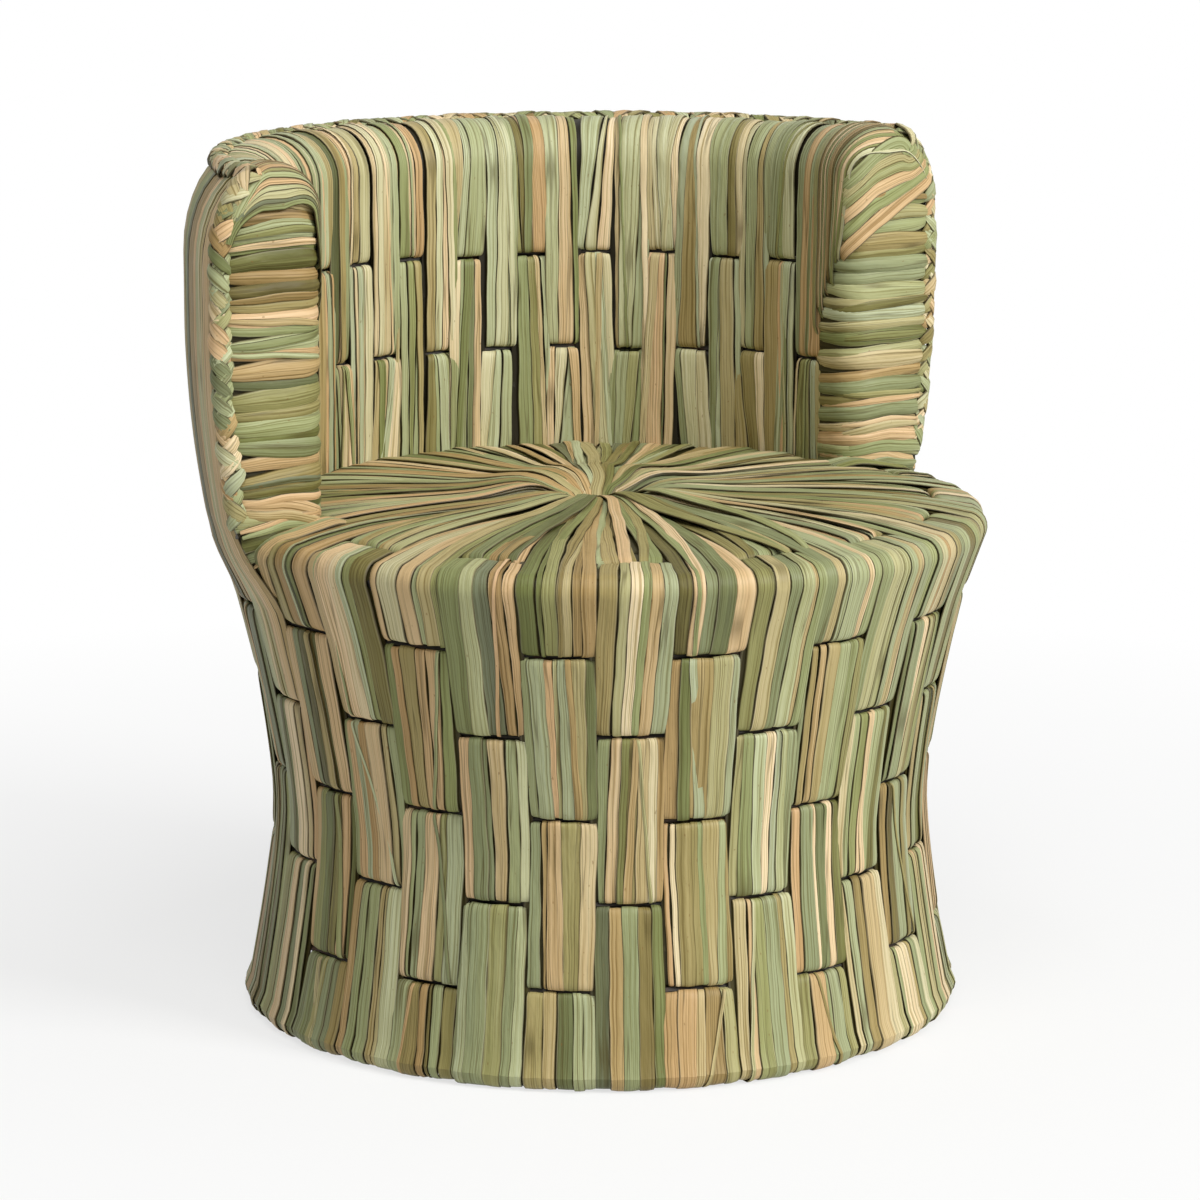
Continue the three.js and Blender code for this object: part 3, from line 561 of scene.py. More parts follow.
# The path of a dive is in millimetres: along the skin from the hoop, and in from the skin.
DIVE_DEPTH = 14.0
DIVE = [(-20.0, 0.1), (-12.0, 0.2), (-7.0, 0.5), (-4.4, 1.0), (-2.8, 1.9), (-1.8, 3.0),
        (-1.3, 4.4), (-1.6, 5.8), (-3.2, 7.2), (-3.5, 9.5), (-3.1, 12.2), (-1.8, 13.7),
        (0.0, 14.0), (1.8, 13.7), (3.1, 12.2), (3.5, 9.5), (3.2, 7.2), (1.6, 5.8), (1.3, 4.4),
        (1.8, 3.0), (2.8, 1.9), (4.4, 1.0), (7.0, 0.5), (12.0, 0.2), (20.0, 0.1)]
SKIN_STEP = 0.012


def hoop_heights(hoops, rng):
    """Where a bundle dives behind its hoops. No two hands pull it equally high."""
    return [LOWEST_HOOP + (hoop - 1) * HOOP_PITCH + rng.uniform(-0.0018, 0.0018)
            for hoop in hoops]


def dive(centre, step_of, slack):
    """The stations of one dive. step_of turns a place along the skin and an inset to a station."""
    return [(*step_of(centre + along * (1 + slack) / 1000, inset / 1000), inset / DIVE_DEPTH)
            for along, inset in DIVE]


def drum_way(dives, top, slack):
    """From inside the floor ring up to a height."""
    way = [(FLOOR_RING[0] - FLOOR_TURN, 2 * FLOOR_TURN, -1.0, 0.0, 0.0)]
    for step in range(9):
        turn = math.pi * (1 + step / 8)
        out = (math.cos(turn), math.sin(turn))
        way.append((FLOOR_RING[0] + FLOOR_TURN * out[0], FLOOR_RING[1] + FLOOR_TURN * out[1],
                    *out, 0.0))
    height = 0.024
    for centre in dives:
        while height < centre - DIVE_BEFORE:
            way.append((skin_radius(height), height, 1.0, 0.0, 0.0))
            height += SKIN_STEP
        way += dive(centre, lambda place, inset: (skin_radius(place) - inset, place, 1.0, 0.0),
                    slack)
        height = centre + DIVE_PAST
    while height < top:
        way.append((skin_radius(height), height, 1.0, 0.0, 0.0))
        height += SKIN_STEP
    return way


print("columns round the drum", COLUMNS, "stations of a dive", len(DIVE))

# %% [markdown]
# Between two dives a bundle shows a block of five to seven strips. They are laid out anew in
# every block, because strips slip, fold and end under the hoops. Some taper from one end to the
# other, now and then a strip crosses the block, and a fine one lies on top.

# %% How a block is shared out
def blocks_of(way):
    """Cuts a way behind each dive, where its strips end unseen."""
    cuts = [0] + [k for k, station in enumerate(way) if station[4] == 1.0] + [len(way) - 1]
    return [way[a:b + 1] for a, b in zip(cuts, cuts[1:]) if b - a > 3]


def borders_of(widths):
    """The borders between strips of given widths, across a bundle from -0.5 to 0.5."""
    return np.concatenate([[0], np.cumsum(widths)]) / widths.sum() - 0.5


def strip_plan(rng, counts, wild):
    """Where the strips of a block lie: for each its two borders at the start and at the end."""
    count = int(rng.integers(counts[0], counts[1] + 1))
    widths = rng.uniform(0.65, 1.50, count)
    if count > 4 and rng.random() < 0.5:
        widths[rng.integers(1, count - 1)] *= 0.45
    taper = 0.42 * wild
    first = borders_of(widths * rng.uniform(1 - taper, 1 + taper, count))
    last = borders_of(widths * rng.uniform(1 - taper, 1 + taper, count))
    plan = [(first[k], first[k + 1], last[k], last[k + 1], rng.random() < 0.45, 0.0)
            for k in range(count)]
    if rng.random() < 0.30 * wild:
        a = rng.uniform(-0.36, 0.36)
        b = np.clip(a + rng.uniform(-0.30, 0.30) * wild, -0.42, 0.42)
        half = rng.uniform(0.035, 0.085) * wild
        plan.append((a - half, a + half, b - half * 0.5, b + half * 0.5, True, 0.0009))
    if rng.random() < 0.30:
        a, b = rng.uniform(-0.45, 0.45, 2)
        plan.append((a - 0.014, a + 0.014, b - 0.010, b + 0.010, True, 0.0015))
    return plan


# %% The strips of a block
BLOCK_BULGE = 0.0014
ROUNDED_SIDE = 0.0022
UNDER_DEPTH = 0.0034
# Under strips take a light value below zero: painted shade. The lighter one serves bundles with a
# shape of their own, on the seat and beside the arm ends.
UNDER_PAINTED_SHADE = -0.80
UNDER_PAINTED_SHADE_SEAT = -0.42


def lay_block(rng, angle, way, half, plan, bias, wild=1.0, spread=(0.965, 1.045), gather=0.05,
              under=False, leans=False, shape=None):
    """The strips of one block, straight from end to end. Under strips are plain, and painted dark
    as shade.
    """
    way = np.array(way)
    reach, height, out_reach, out_height, deep = way.T
    length = np.concatenate([[0], np.cumsum(np.hypot(np.diff(reach), np.diff(height)))])
    share = length / length[-1]
    swing = rng.uniform(-0.0030, 0.0030, 2) * wild
    squeeze = [1.03, 1.03] if under else rng.uniform(*spread, 2)
    bulge = BLOCK_BULGE * np.sin(np.pi * share)
    hidden = np.clip(deep / 0.30, 0, 1)
    strips = []
    for first_low, first_high, last_low, last_high, proud, raised in plan:
        low = first_low + (last_low - first_low) * share
        high = first_high + (last_high - first_high) * share
        narrow = (squeeze[0] + (squeeze[1] - squeeze[0]) * share) * (1 - gather * hidden)
        middle = (low + high) / 2 * narrow
        room = 0.0018 if proud or under else -rng.uniform(-0.0002, 0.0011)
        wedge = 0.0 if proud or under else rng.choice([0, 0, 0.0022]) * rng.random()
        wedge = wedge * (share if rng.random() < 0.5 else 1 - share)
        width = np.maximum((high - low) * narrow * 2 * half * reach + room - wedge, 0.0018)
        side_angle = angle + middle * 2 * half + (
            swing[0] + (swing[1] - swing[0]) * share) / np.maximum(reach, 0.05) * (1 - deep)
        if under:
            inset = np.full(len(way), UNDER_DEPTH)
        else:
            inset = (0.0001 if proud else rng.uniform(0.0008, 0.0015)) - raised - bulge \
                + ROUNDED_SIDE * np.abs(2 * middle) ** 4
            inset = np.maximum(inset, -0.0014)
        shift = np.where(share < 0.5, rng.uniform(-0.0007, 0.0009),
                         -rng.uniform(-0.0007, 0.0009)) * hidden * (not under)
        if shape is not None:
            side_angle, width, inset = shape.bend(rng, way, side_angle, width, inset, under)
        r = reach - out_reach * inset - out_height * shift
        if leans:
            r = r + arm_lean(side_angle, height) * (out_reach > 0)
        points = np.stack([r * np.cos(side_angle), r * np.sin(side_angle) + AXIS_Y,
                           height - out_height * inset + out_reach * shift], axis=1)
        if shape is not None:
            points = shape.pull(points, r, height)
        side = np.stack([-np.sin(side_angle), np.cos(side_angle), np.zeros(len(way))], axis=1)
        turn = rng.uniform(-0.08, 0.08, 2)
        twist = turn[0] + (turn[1] - turn[0]) * share \
            - 0.12 * np.sign(middle) * np.abs(2 * middle) ** 3
        # Under strips are painted near black in the leaf material: painted shade in the gaps.
        painted_shade = UNDER_PAINTED_SHADE if shape is None else UNDER_PAINTED_SHADE_SEAT
        finish = (painted_shade, 0.4) if under else leaf_finish(rng, bias)
        strips.append(lay_strip(points, side, width, finish, rng, rng.uniform(0.0006, 0.0010),
                                rng.choice([0, 0.0002, 0.0005]), twist * (not under),
                                2 if under else 4))
    return strips


# %% A whole bundle
def lay_bundle(rng, angle, way_of, half, counts, bias, wild=1.0, **settings):
    """A bundle: strips block by block, and a layer under them that closes the gaps, painted dark
    as shade.
    """
    strips = []
    for block in blocks_of(way_of(rng.uniform(-0.1, 0.15))):
        own = bias + rng.uniform(-0.13, 0.13)
        strips += lay_block(rng, angle, block, half, strip_plan(rng, counts, wild), own, wild,
                            **settings)
    borders = np.linspace(-0.5, 0.5, 4)
    plan = [(a, b, a, b, False, 0.0) for a, b in zip(borders, borders[1:])]
    strips += lay_block(rng, angle, way_of(0.75), half, plan, bias, under=True, **settings)
    return strips


# %% [markdown]
# ## Seat and front
#
# The same leaf makes the front of the drum and the seat. A strip climbs the drum, bends over the
# rim, and runs to the middle of the seat, where all strips are drawn together over a small ring
# and pulled down, as a button is in a cushion. There is far less room there than at the rim, so
# the strips keep most of their width and lie on each other in layers. Every second bundle also
# dives under a hoop just inside the rim, which leaves the small dark slits on the seat. A
# round, buttoned cushion would have even folds. Here each strip finds its own way, so that the
# folds stay uneven.

# %% The way over the seat
SEAT_HOOP_RADIUS = 0.284
PINCH_SHIFT = 0.012
PINCH_HEIGHT = 0.4330
LAYER = 0.0008
LAYERS = 8


def rim_way():
    """Round the rim: from the leaning skin over a tight bend to the level of the seat."""
    way = []
    for step in range(8):
        turn = -RIM_LEAN + (math.pi / 2 + RIM_LEAN) * step / 7
        out = (math.cos(turn), math.sin(turn))
        way.append((RIM_MIDDLE + RIM_BEND * out[0], SEAT_HEIGHT - RIM_BEND * (1 - out[1]),
                    *out, 0.0))
    return way


def seat_height(reach, rear):
    """The seat near its middle: a low swelling round the pinch, then down into it."""
    swelling = (0.0060 if rear else 0.0030) * math.exp(-(((reach - 0.065) / 0.035) ** 2))
    level = seat_surface(reach) + swelling
    if reach < 0.045:
        share = max((reach - 0.014) / 0.031, 0.0)
        level = PINCH_HEIGHT + (level - PINCH_HEIGHT) * math.sin(share * math.pi / 2)
    return level


PINCH_WAY = [(0.0125, 0.4295), (0.0100, 0.4230), (0.0062, 0.4130), (0.0035, 0.4000)]


def seat_way(dives_under, slack, rear):
    """From the rim, or from behind the wall, to the pinch and down into it."""
    way = []
    if rear:
        way += [(0.288, 0.4110, 0.0, 1.0, 0.3), (0.276, 0.4190, 0.0, 1.0, 0.2),
                (0.268, 0.4270, 0.0, 1.0, 0.1), (0.262, 0.4330, 0.0, 1.0, 0.0)]
        reach = 0.254
    else:
        way += rim_way()
        if dives_under:
            way += dive(-SEAT_HOOP_RADIUS, lambda place, inset:
                        (-place, seat_surface(-place) - 1.35 * inset, 0.0, 1.0), slack)
            reach = 0.258
        else:
            reach = 0.303
    while reach > 0.05:
        way.append((reach, seat_height(reach, rear), 0.0, 1.0, 0.0))
        reach -= 0.0125
    for reach in (0.046, 0.038, 0.031, 0.025, 0.020, 0.016):
        way.append((reach, seat_height(reach, rear), 0.0, 1.0, 0.0))
    way += [(reach, height, 0.0, 1.0, 0.0) for reach, height in PINCH_WAY]
    return way


print("highest ring of the seat",
      round(max(seat_height(reach / 1000, False) for reach in range(20, 300)), 4))


# %% How strips share the room
def on_seat(reach, height):
    """Where a station belongs to the seat, and not to the drum below it."""
    return (reach < 0.300) & (height > 0.388)


class SeatShape:
    """How strips behave on the seat: they keep their width, stack up and bend a little."""

    def __init__(self, rear):
        self.rear = rear

    def bend(self, rng, way, side_angle, width, inset, under):
        """Towards the pinch a strip keeps its width, joins a layer and bows a little."""
        reach, height = way[:, 0], way[:, 1]
        flag = on_seat(reach, height)
        kept = 0.026 if under else np.clip(np.max(width), 0.0092, 0.0140)
        kept = kept * (0.84 + 0.16 * np.clip(reach / 0.30, 0, 1))
        closing = flag * np.clip((0.30 - reach) / 0.05, 0, 1)
        width = width + (np.maximum(width, kept) - width) * closing
        rank = LAYERS if under else int(rng.integers(0, LAYERS))
        inset = inset + flag * rank * LAYER * np.clip((0.25 - reach) / 0.17, 0, 1)
        turn = rng.normal(0, 0.0050) * np.sin(np.pi * np.clip(reach / 0.30, 0, 1))
        side_angle = side_angle + flag * turn / np.maximum(reach, 0.03)
        return side_angle, width, inset

    def pull(self, points, reach, height):
        """The pinch is a slit: its two lips stand apart, and below them the strips close up."""
        flag = on_seat(reach, height)
        share = np.clip(1 - np.abs(reach) / 0.25, 0, 1) ** 1.5 \
            * np.clip((height - 0.405) / 0.026, 0, 1)
        points[:, 1] += flag * share * (PINCH_SHIFT if self.rear else -PINCH_SHIFT)
        points[:, 0] *= 1 + 0.9 * flag * np.clip(1 - reach / 0.07, 0, 1) ** 1.5
        return points


# %% [markdown]
# Two wide strips were laid last, across the front of the seat, from the pinch to under the rim.
# Three short ones tie the bottom of the pinch.

# %% Strips laid by themselves
def cross_strip(rng, angle, lean, width, finish):
    """A wide strip on top of the seat, from the pinch to under the front rim."""
    reach = np.array([0.012, 0.016, 0.022, 0.031, 0.045, 0.065, 0.09, 0.12, 0.15, 0.18, 0.21,
                      0.24, 0.265, 0.282, 0.291, 0.297, 0.299])
    lift = np.interp(reach, [0.02, 0.05, 0.27, 0.29, 0.299], [0.0005, 0.0026, 0.0022, 0.0008,
                                                              -0.0060])
    height = np.array([seat_height(place, False) for place in reach]) + lift
    turn = angle + lean * (1 - reach / 0.30)
    points = np.stack([reach * np.cos(turn), reach * np.sin(turn) + AXIS_Y, height], axis=1)
    points = SeatShape(False).pull(points, reach, height)
    side = side_of(points, (0.0, 0.0, 1.0))
    grown = width * np.interp(reach, [0.012, 0.03, 0.10, 0.22, 0.299],
                              [0.62, 0.85, 1.0, 0.8, 0.35])
    return lay_strip(points, side, grown, finish, rng, 0.0008, 0.0003)


def pinch_tie(rng, turn):
    """A short strip across the bottom of the pinch, which closes it, darkened as painted shade."""
    places = np.array([(-0.085, 0, 0.4275), (-0.030, 0, 0.4235), (-0.012, 0, 0.4175),
                       (0, 0, 0.4160), (0.012, 0, 0.4175), (0.030, 0, 0.4235),
                       (0.085, 0, 0.4275)])
    points = smooth_way(places, 20)
    points = np.stack([points[:, 0] * math.cos(turn), points[:, 0] * math.sin(turn) + AXIS_Y,
                       points[:, 2]], axis=1)
    # The light value below zero darkens the tie: painted shade deep in the pinch.
    return lay_strip(points, side_of(points, (0.0, 0.0, 1.0)), 0.024, (-0.25, 0.3), rng, 0.0008)


# %% The seat bundles
BUNDLES = COLUMNS // 2
# The bundle they belong to, and then where they lie: direction, lean, width, light and warm.
CROSS_STRIPS = {7: (-math.pi / 2 - 0.030, -0.25, 0.0165, (0.42, 0.22)),
                8: (-math.pi / 2 + 0.022, 0.30, 0.0150, (0.52, 0.05))}
PINCH_TIES = {3: 0.03, 7: math.pi / 2 + 0.08, 11: -0.65}
pieces = []
for i in range(BUNDLES):
    rng = np.random.default_rng(100 + i)
    even = i % 2 == 0
    angle = -math.pi + (2 * i + 1) * COLUMN / 2
    dives = hoop_heights([1, 3, 5] if even else [2, 4], rng)
    bias = rng.uniform(0.40, 0.66)

    def front_way(slack):
        return drum_way(dives, SEAT_HEIGHT - RIM_BEND - 0.009, slack) \
            + seat_way(not even, slack, False)

    def rear_way(slack):
        return seat_way(False, slack, True)

    strips = lay_bundle(rng, angle, front_way, COLUMN / 2, (5, 7), bias, shape=SeatShape(False))
    strips += lay_bundle(rng, angle + math.pi, rear_way, COLUMN / 2, (5, 6), bias,
                         shape=SeatShape(True))
    if i in CROSS_STRIPS:
        strips.append(cross_strip(rng, *CROSS_STRIPS[i]))
    if i in PINCH_TIES:
        strips.append(pinch_tie(rng, PINCH_TIES[i]))
    node = f"seat_bundle_{i + 1:02d}"
    pieces.append(bind(strips, f"leaf_{node}", drum_leaf, node))
print("seat bundles", len(pieces))

# %% [markdown]
# ## The outer back
#
# Behind, the bundles climb the drum in the same way, leave the hoops below the seat, and hang
# free from the edge of the back: long strips without a break, a little wavy, from the braid down
# to the blocks of the drum. One bent sheet with ridges would look right from afar. Up close the
# strips of a bundle overlap and end unevenly under the braid, so they are laid one by one. The
# two bundles beside the arm ends draw in above the seat, to leave room for the braid.

# %% The back bundles
BRAID_TURN = math.pi / 9
BRAID_DIAMETER = 0.015
ARM_FACE = 0.005


def back_way(dives):
    """The way from the floor ring up the outside of the back, to under the braid."""
    def way_of(slack):
        way = drum_way(dives, OUTER_ROLL_FOOT, slack)
        for step in range(7):
            turn = math.pi / 2 - (math.pi / 2 - BRAID_TURN - 0.04) * step / 6
            way.append((*outer_roll(turn, 0.0), math.sin(turn), math.cos(turn), 0.0))
        return way
    return way_of


# %% Beside the arm ends
class BesideArm:
    """Beside an arm end a bundle keeps clear of the braid, above the seat."""

    def __init__(self, hand):
        self.hand = hand

    def bend(self, rng, way, side_angle, width, inset, under):
        """Above the seat the bundle gets narrower and moves away from the arm's end."""
        middle = COLUMN / 2 if self.hand > 0 else math.pi - COLUMN / 2
        share = np.clip((way[:, 1] - 0.372) / 0.064, 0, 1)
        share = share * share * (3 - 2 * share)
        keep = 1 - 0.26 * share
        shift = self.hand * 0.13 * COLUMN * share
        return middle + (side_angle - middle) * keep + shift, width * keep, inset

    def pull(self, points, reach, height):
        """Nothing pulls a bundle of the back."""
        return points


# %% Hang the back bundles
for i in range(BUNDLES):
    rng = np.random.default_rng(200 + i)
    dives = hoop_heights([3, 5] if i % 2 == 0 else [2, 4], rng)
    angle = (2 * i + 1) * COLUMN / 2
    shape = BesideArm(1) if i == 0 else BesideArm(-1) if i == BUNDLES - 1 else None
    # The back's bias is lower than the drum's: its leaf is darker, partly as painted shade on the
    # outside of the back.
    strips = lay_bundle(rng, angle, back_way(dives), COLUMN / 2, (5, 7),
                        rng.uniform(0.31, 0.57), leans=True, shape=shape)
    node = f"back_bundle_{i + 1:02d}"
    pieces.append(bind(strips, f"leaf_{node}", back_leaf, node))
print("with back bundles", len(pieces))

# %% [markdown]
# ## The inner back
#
# On the inside the leaf hangs from the braid too: it rolls over the top edge, drops down the
# hollow wall and dives behind thin row wires, every second column at the middle wire and the
# others at the top one. The strips are laid from the top down, so that the side that shows is the
# side towards the sitter. Where a column dives it is drawn together, and a small dark slit opens
# beside it. The tools of the drum serve here again, turned to face inwards, so only the way is
# new. A column has fewer strips, and they are gathered more at its wire.

# %% The inner columns
INNER_COLUMNS = 25
INNER_COLUMN = math.pi / 2 / 14
FIRST_EDGE = math.pi / 2 - INNER_COLUMNS / 2 * INNER_COLUMN
ROW_WIRES = (0.608, 0.522)


def inner_way(dives):
    """From behind the crest over the top and down the inner wall to below the seat."""
    def way_of(slack):
        way = []
        for turn in (0.26, 0.13, 0.0):
            way.append((*outer_roll(turn, 0.0), math.sin(turn), math.cos(turn), 0.0))
        for step in range(1, 9):
            turn = math.pi / 2 * step / 8
            way.append((*inner_roll(turn, 0.0), -math.sin(turn), math.cos(turn), 0.0))
        height = INNER_ROLL_FOOT - 0.010
        for centre in dives:
            while height > centre + DIVE_BEFORE:
                way.append((INNER_RADIUS, height, -1.0, 0.0, 0.0))
                height -= SKIN_STEP
            way += dive(-centre, lambda place, inset: (INNER_RADIUS + inset, -place, -1.0, 0.0),
                        slack)
            height = centre - DIVE_PAST
        while height > 0.420:
            way.append((INNER_RADIUS, height, -1.0, 0.0, 0.0))
            height -= SKIN_STEP
        return way
    return way_of


# %% Lay the inner columns
strips = []
for i in range(INNER_COLUMNS):
    rng = np.random.default_rng(300 + i)
    angle = FIRST_EDGE + (i + 0.5) * INNER_COLUMN
    dives = [ROW_WIRES[1 - i % 2] + rng.uniform(-0.0025, 0.0025)]
    strips += lay_bundle(rng, angle, inner_way(dives), INNER_COLUMN / 2, (3, 4),
                         rng.uniform(0.56, 0.84), 1.9, spread=(1.01, 1.09), gather=0.15,
                         leans=True)
print("inner columns", INNER_COLUMNS, "strips", len(strips))

# %% [markdown]
# ## The fans over the arm ends
#
# Over each arm end a fan of strips turns with the corner: it starts along the bend of the braid,
# closes over the end and gathers on the inner wall. The end of the wall is flat with a rounded
# edge, so a place on it is given by a turn over the crest, or a drop down the inner wall, and by
# how far round the edge it lies. In these two numbers a strip of the fan is a simple curve,
# which it would not be in space.

# %% Places on the end of the wall
END_ROUND = 0.020


def end_place(turn, drop, around):
    """A point of the wall's end, and the way out there: a turn over the crest, a drop below."""
    swing = min(max(around / END_ROUND, 0.0), math.pi / 2)
    inset = END_ROUND * (1 - math.sin(swing)) + max(-around, 0.0)
    y = ARM_FACE + END_ROUND * (1 - math.cos(swing)) + max(around - END_ROUND * math.pi / 2, 0.0)
    if turn > 0:
        reach, height = outer_roll(turn, inset)
        reach += float(arm_lean(math.asin(y / reach), height))
    else:
        reach, height = inner_roll(-turn, inset)
    out = np.array([math.sin(turn) * math.sin(swing), -math.cos(swing),
                    math.cos(turn) * math.sin(swing)])
    lift = 0.0026 + 0.0012 * math.cos(swing)
    return np.array([math.sqrt(reach ** 2 - y ** 2), y + AXIS_Y, height - drop]) + lift * out, out


def on_hand(places, outs, hand):
    """The same way on the right or the left arm."""
    return np.array(places) * (hand, 1, 1), np.array(outs) * (hand, 1, 1)


# %% A strip of a fan
def fan_strip(t, deepest, drop, laid, width, hand, finish, rng):
    """A strip of the fan. t runs from the innermost strip to the one beside the first column."""
    first = math.radians(80 - 58 * t ** 0.9)
    keys = [0.010 + 0.042 * max(2 * t - 1, 0), deepest + (0.052 - deepest) * t ** 0.9,
            0.008 + 0.044 * t, 0.018 + 0.036 * t]
    places, outs = [], []
    for step in range(15):
        u = step / 14
        ease = (1 - math.cos(math.pi * u)) / 2
        place, out = end_place(first * (1 - u) + 1e-9, 0.0, keys[0] + (keys[1] - keys[0]) * ease)
        places.append(place + laid * out)
        outs.append(out)
    for step in range(1, 12):
        u = step / 11
        ease = (1 - math.cos(math.pi * u)) / 2
        place, out = end_place(-math.pi / 2 * u, 0.0, keys[1] + (keys[2] - keys[1]) * ease)
        places.append(place + laid * out)
        outs.append(out)
    for step in range(1, 13):
        u = step / 12
        place, out = end_place(-math.pi / 2, drop * u, keys[2] + (keys[3] - keys[2]) * u)
        places.append(place + out * (laid - 0.012 * max(u - 0.82, 0) / 0.18))
        outs.append(out)
    points, outs = on_hand(places, outs, hand)
    grown = width * np.interp(np.linspace(0, 1, len(points)), [0, 0.15, 0.5, 0.85, 1],
                              [0.62, 1.0, 1.1, 0.9, 0.6])
    return lay_strip(points, side_of(points, outs), grown, finish, rng, 0.0009,
                     rng.uniform(0.0002, 0.0007), -hand * rng.uniform(0.16, 0.24))


# %% [markdown]
# On the right arm a few wide strips were laid last, across the corner. The upper ones arch
# with the edge, the lower ones lie straight, and all are tucked in at the inner edge.

# %% A corner strip
def corner_strip(first, foot, arch, width, finish, rng):
    """A wide strip across the corner of the right arm, more or less arched, in at the edge."""
    places = [end_place(math.radians(first - 6), 0.0, 0.020),
              end_place(math.radians(first), 0.0, 0.010)]
    top, bottom = end_place(math.radians(first), 0.0, 0.002)[0], \
        end_place(-math.pi / 2, foot, 0.001)[0]
    for share in (0.14, 0.34, 0.54, 0.74, 0.92):
        bow = arch * math.sin(math.pi * share)
        over = top + (bottom - top) * share + (bow * 0.6, 0.0, bow)
        places.append((np.array([over[0], ARM_FACE + AXIS_Y - 0.0032, over[2]]),
                       np.array([0.0, -1.0, 0.0])))
    places += [end_place(-math.pi / 2, foot + lower, around)
               for lower, around in ((0.010, 0.010), (0.022, 0.020), (0.030, 0.028))]
    places[-1] = (places[-1][0] + (0.007, 0.0, 0.0), places[-1][1])
    points = smooth_way([place + 0.0016 * out for place, out in places], 34)
    outs = normalised(smooth_way([out for _, out in places], 34))
    grown = width * np.interp(np.linspace(0, 1, 34), [0, 0.1, 0.5, 0.8, 1],
                              [0.6, 0.95, 1.1, 0.95, 0.6])
    return lay_strip(points, side_of(points, outs), grown, finish, rng, 0.0009, 0.0006, -0.10)


# %% Lay the fans and the corner
FAN_STRIPS = 15


def lay_fan(hand, seed, start):
    """All strips of one fan, from the inside out."""
    rng = np.random.default_rng(seed)
    fan = []
    for k in range(FAN_STRIPS):
        t = start + (1 - start) * k / (FAN_STRIPS - 1)
        drop = 0.055 + 0.100 * t + rng.uniform(-0.015, 0.015)
        laid = rng.uniform(0, 0.0003) + 0.0010 * (1 - t) ** 2
        fan.append(fan_strip(t, -0.017, drop, laid, rng.uniform(0.0085, 0.0120), hand,
                             leaf_finish(rng, 0.50), rng))
    return fan


# The first turn over the crest in degrees, how low it ends, its arch, width, light and warm.
CORNER_STRIPS = [(28, -0.014, 0.013, 0.0130, (0.52, -0.20)),
                 (34, -0.006, 0.009, 0.0120, (0.60, 0.30)),
                 (40, 0.002, 0.005, 0.0125, (0.50, 0.10)),
                 (46, 0.014, 0.002, 0.0130, (0.66, 0.85)),
                 (53, 0.028, 0.000, 0.0125, (0.46, 0.00)),
                 (60, 0.044, 0.000, 0.0140, (0.64, 0.90))]
strips += lay_fan(-1, 391, 0.10) + lay_fan(1, 390, 0.27)
rng = np.random.default_rng(392)
for corner in CORNER_STRIPS:
    strips.append(corner_strip(*corner, rng))
pieces.append(bind(strips, "leaf_inner_back", back_leaf, "inner_back_weave"))
print("inner strips", len(strips))

# %% [markdown]
# ## The arm ends
#
# Each end of the wall is wound with single strips. A strip starts under the braid at the outer
# edge, crosses the end face, turns round the inner corner and slips in behind the first column of
# the inner back. It is folded, so it is thick and soft, widest in the middle of the face and
# narrow at both edges. Near the top the windings arch like the edge above them, at the foot they
# run down to the outside. A helix round the end would be one long, even thread, and these are
# short, uneven strips, so each one is laid by itself.

# %% Round the arm's end
CORNER_ROUND = 0.022
OUTER_CORNER = [(0.0062, 0.0220), (0.0064, 0.0160), (0.0095, 0.0105), (0.0150, 0.0070),
                (0.0220, 0.0050)]
FOOT_CORNER = [(0.0075, 0.0210), (0.0062, 0.0150), (0.0042, 0.0095), (0.0098, 0.0062),
               (0.0190, 0.0044)]
FACE_SHARES = (0.15, 0.32, 0.50, 0.68, 0.85)
WALL_PLACES = [(0.0, 0.030), (0.0, 0.036), (0.0010, 0.042), (0.0035, 0.048), (0.0080, 0.055)]


# %% The way of a winding
def arm_outer(height):
    """Reach of the outer skin at the arm's end."""
    lean = float(arm_lean(0.0, height))
    if height > OUTER_ROLL_FOOT:
        share = min((height - OUTER_ROLL_FOOT) / ROLL_DROP, 0.999)
        return CREST_RADIUS + ROLL_RADIUS * math.sqrt(1 - share ** 2) + lean
    return skin_radius(height) + lean


def arm_inner(height):
    """Reach of the inner skin at the arm's end."""
    if height > INNER_ROLL_FOOT:
        share = min((height - INNER_ROLL_FOOT) / ROLL_RADIUS, 0.999)
        return CREST_RADIUS - ROLL_RADIUS * math.sqrt(1 - share ** 2)
    return INNER_RADIUS


def winding_way(height_of):
    """The way of one winding, from under the braid round to the inner wall."""
    count = len(OUTER_CORNER) + len(FACE_SHARES) + 7 + len(WALL_PLACES)
    heights = [height_of(k / (count - 1)) for k in range(count)]
    way = []
    bare = min(max((0.450 - heights[0]) / 0.010, 0.0), 1.0)
    deeper = 0.0060 * min(max((heights[0] - 0.665) / 0.025, 0.0), 1.0)
    for corner, foot in zip(OUTER_CORNER, FOOT_CORNER):
        inset, y = np.array(corner) * (1 - bare) + np.array(foot) * bare
        inset = max(inset, min(inset + deeper, 0.0150))
        way.append((arm_outer(heights[len(way)]) - inset, y))
    for share in FACE_SHARES:
        height = heights[len(way)]
        outer = arm_outer(height) - OUTER_CORNER[-1][0]
        inner = arm_inner(height) + CORNER_ROUND
        way.append((outer + (inner - outer) * share, ARM_FACE - 0.0012))
    for step in range(7):
        turn = math.pi / 2 * step / 6
        inner = arm_inner(heights[len(way)])
        way.append((inner + CORNER_ROUND * (1 - math.sin(turn)),
                    ARM_FACE - 0.0010 + CORNER_ROUND * (1 - math.cos(turn))))
    for inset, y in WALL_PLACES:
        way.append((arm_inner(heights[len(way)]) + inset, y))
    return np.array([(math.sqrt(x ** 2 - y ** 2) if y > 0.010 else x, y + AXIS_Y, height)
                     for (x, y), height in zip(way, heights)])


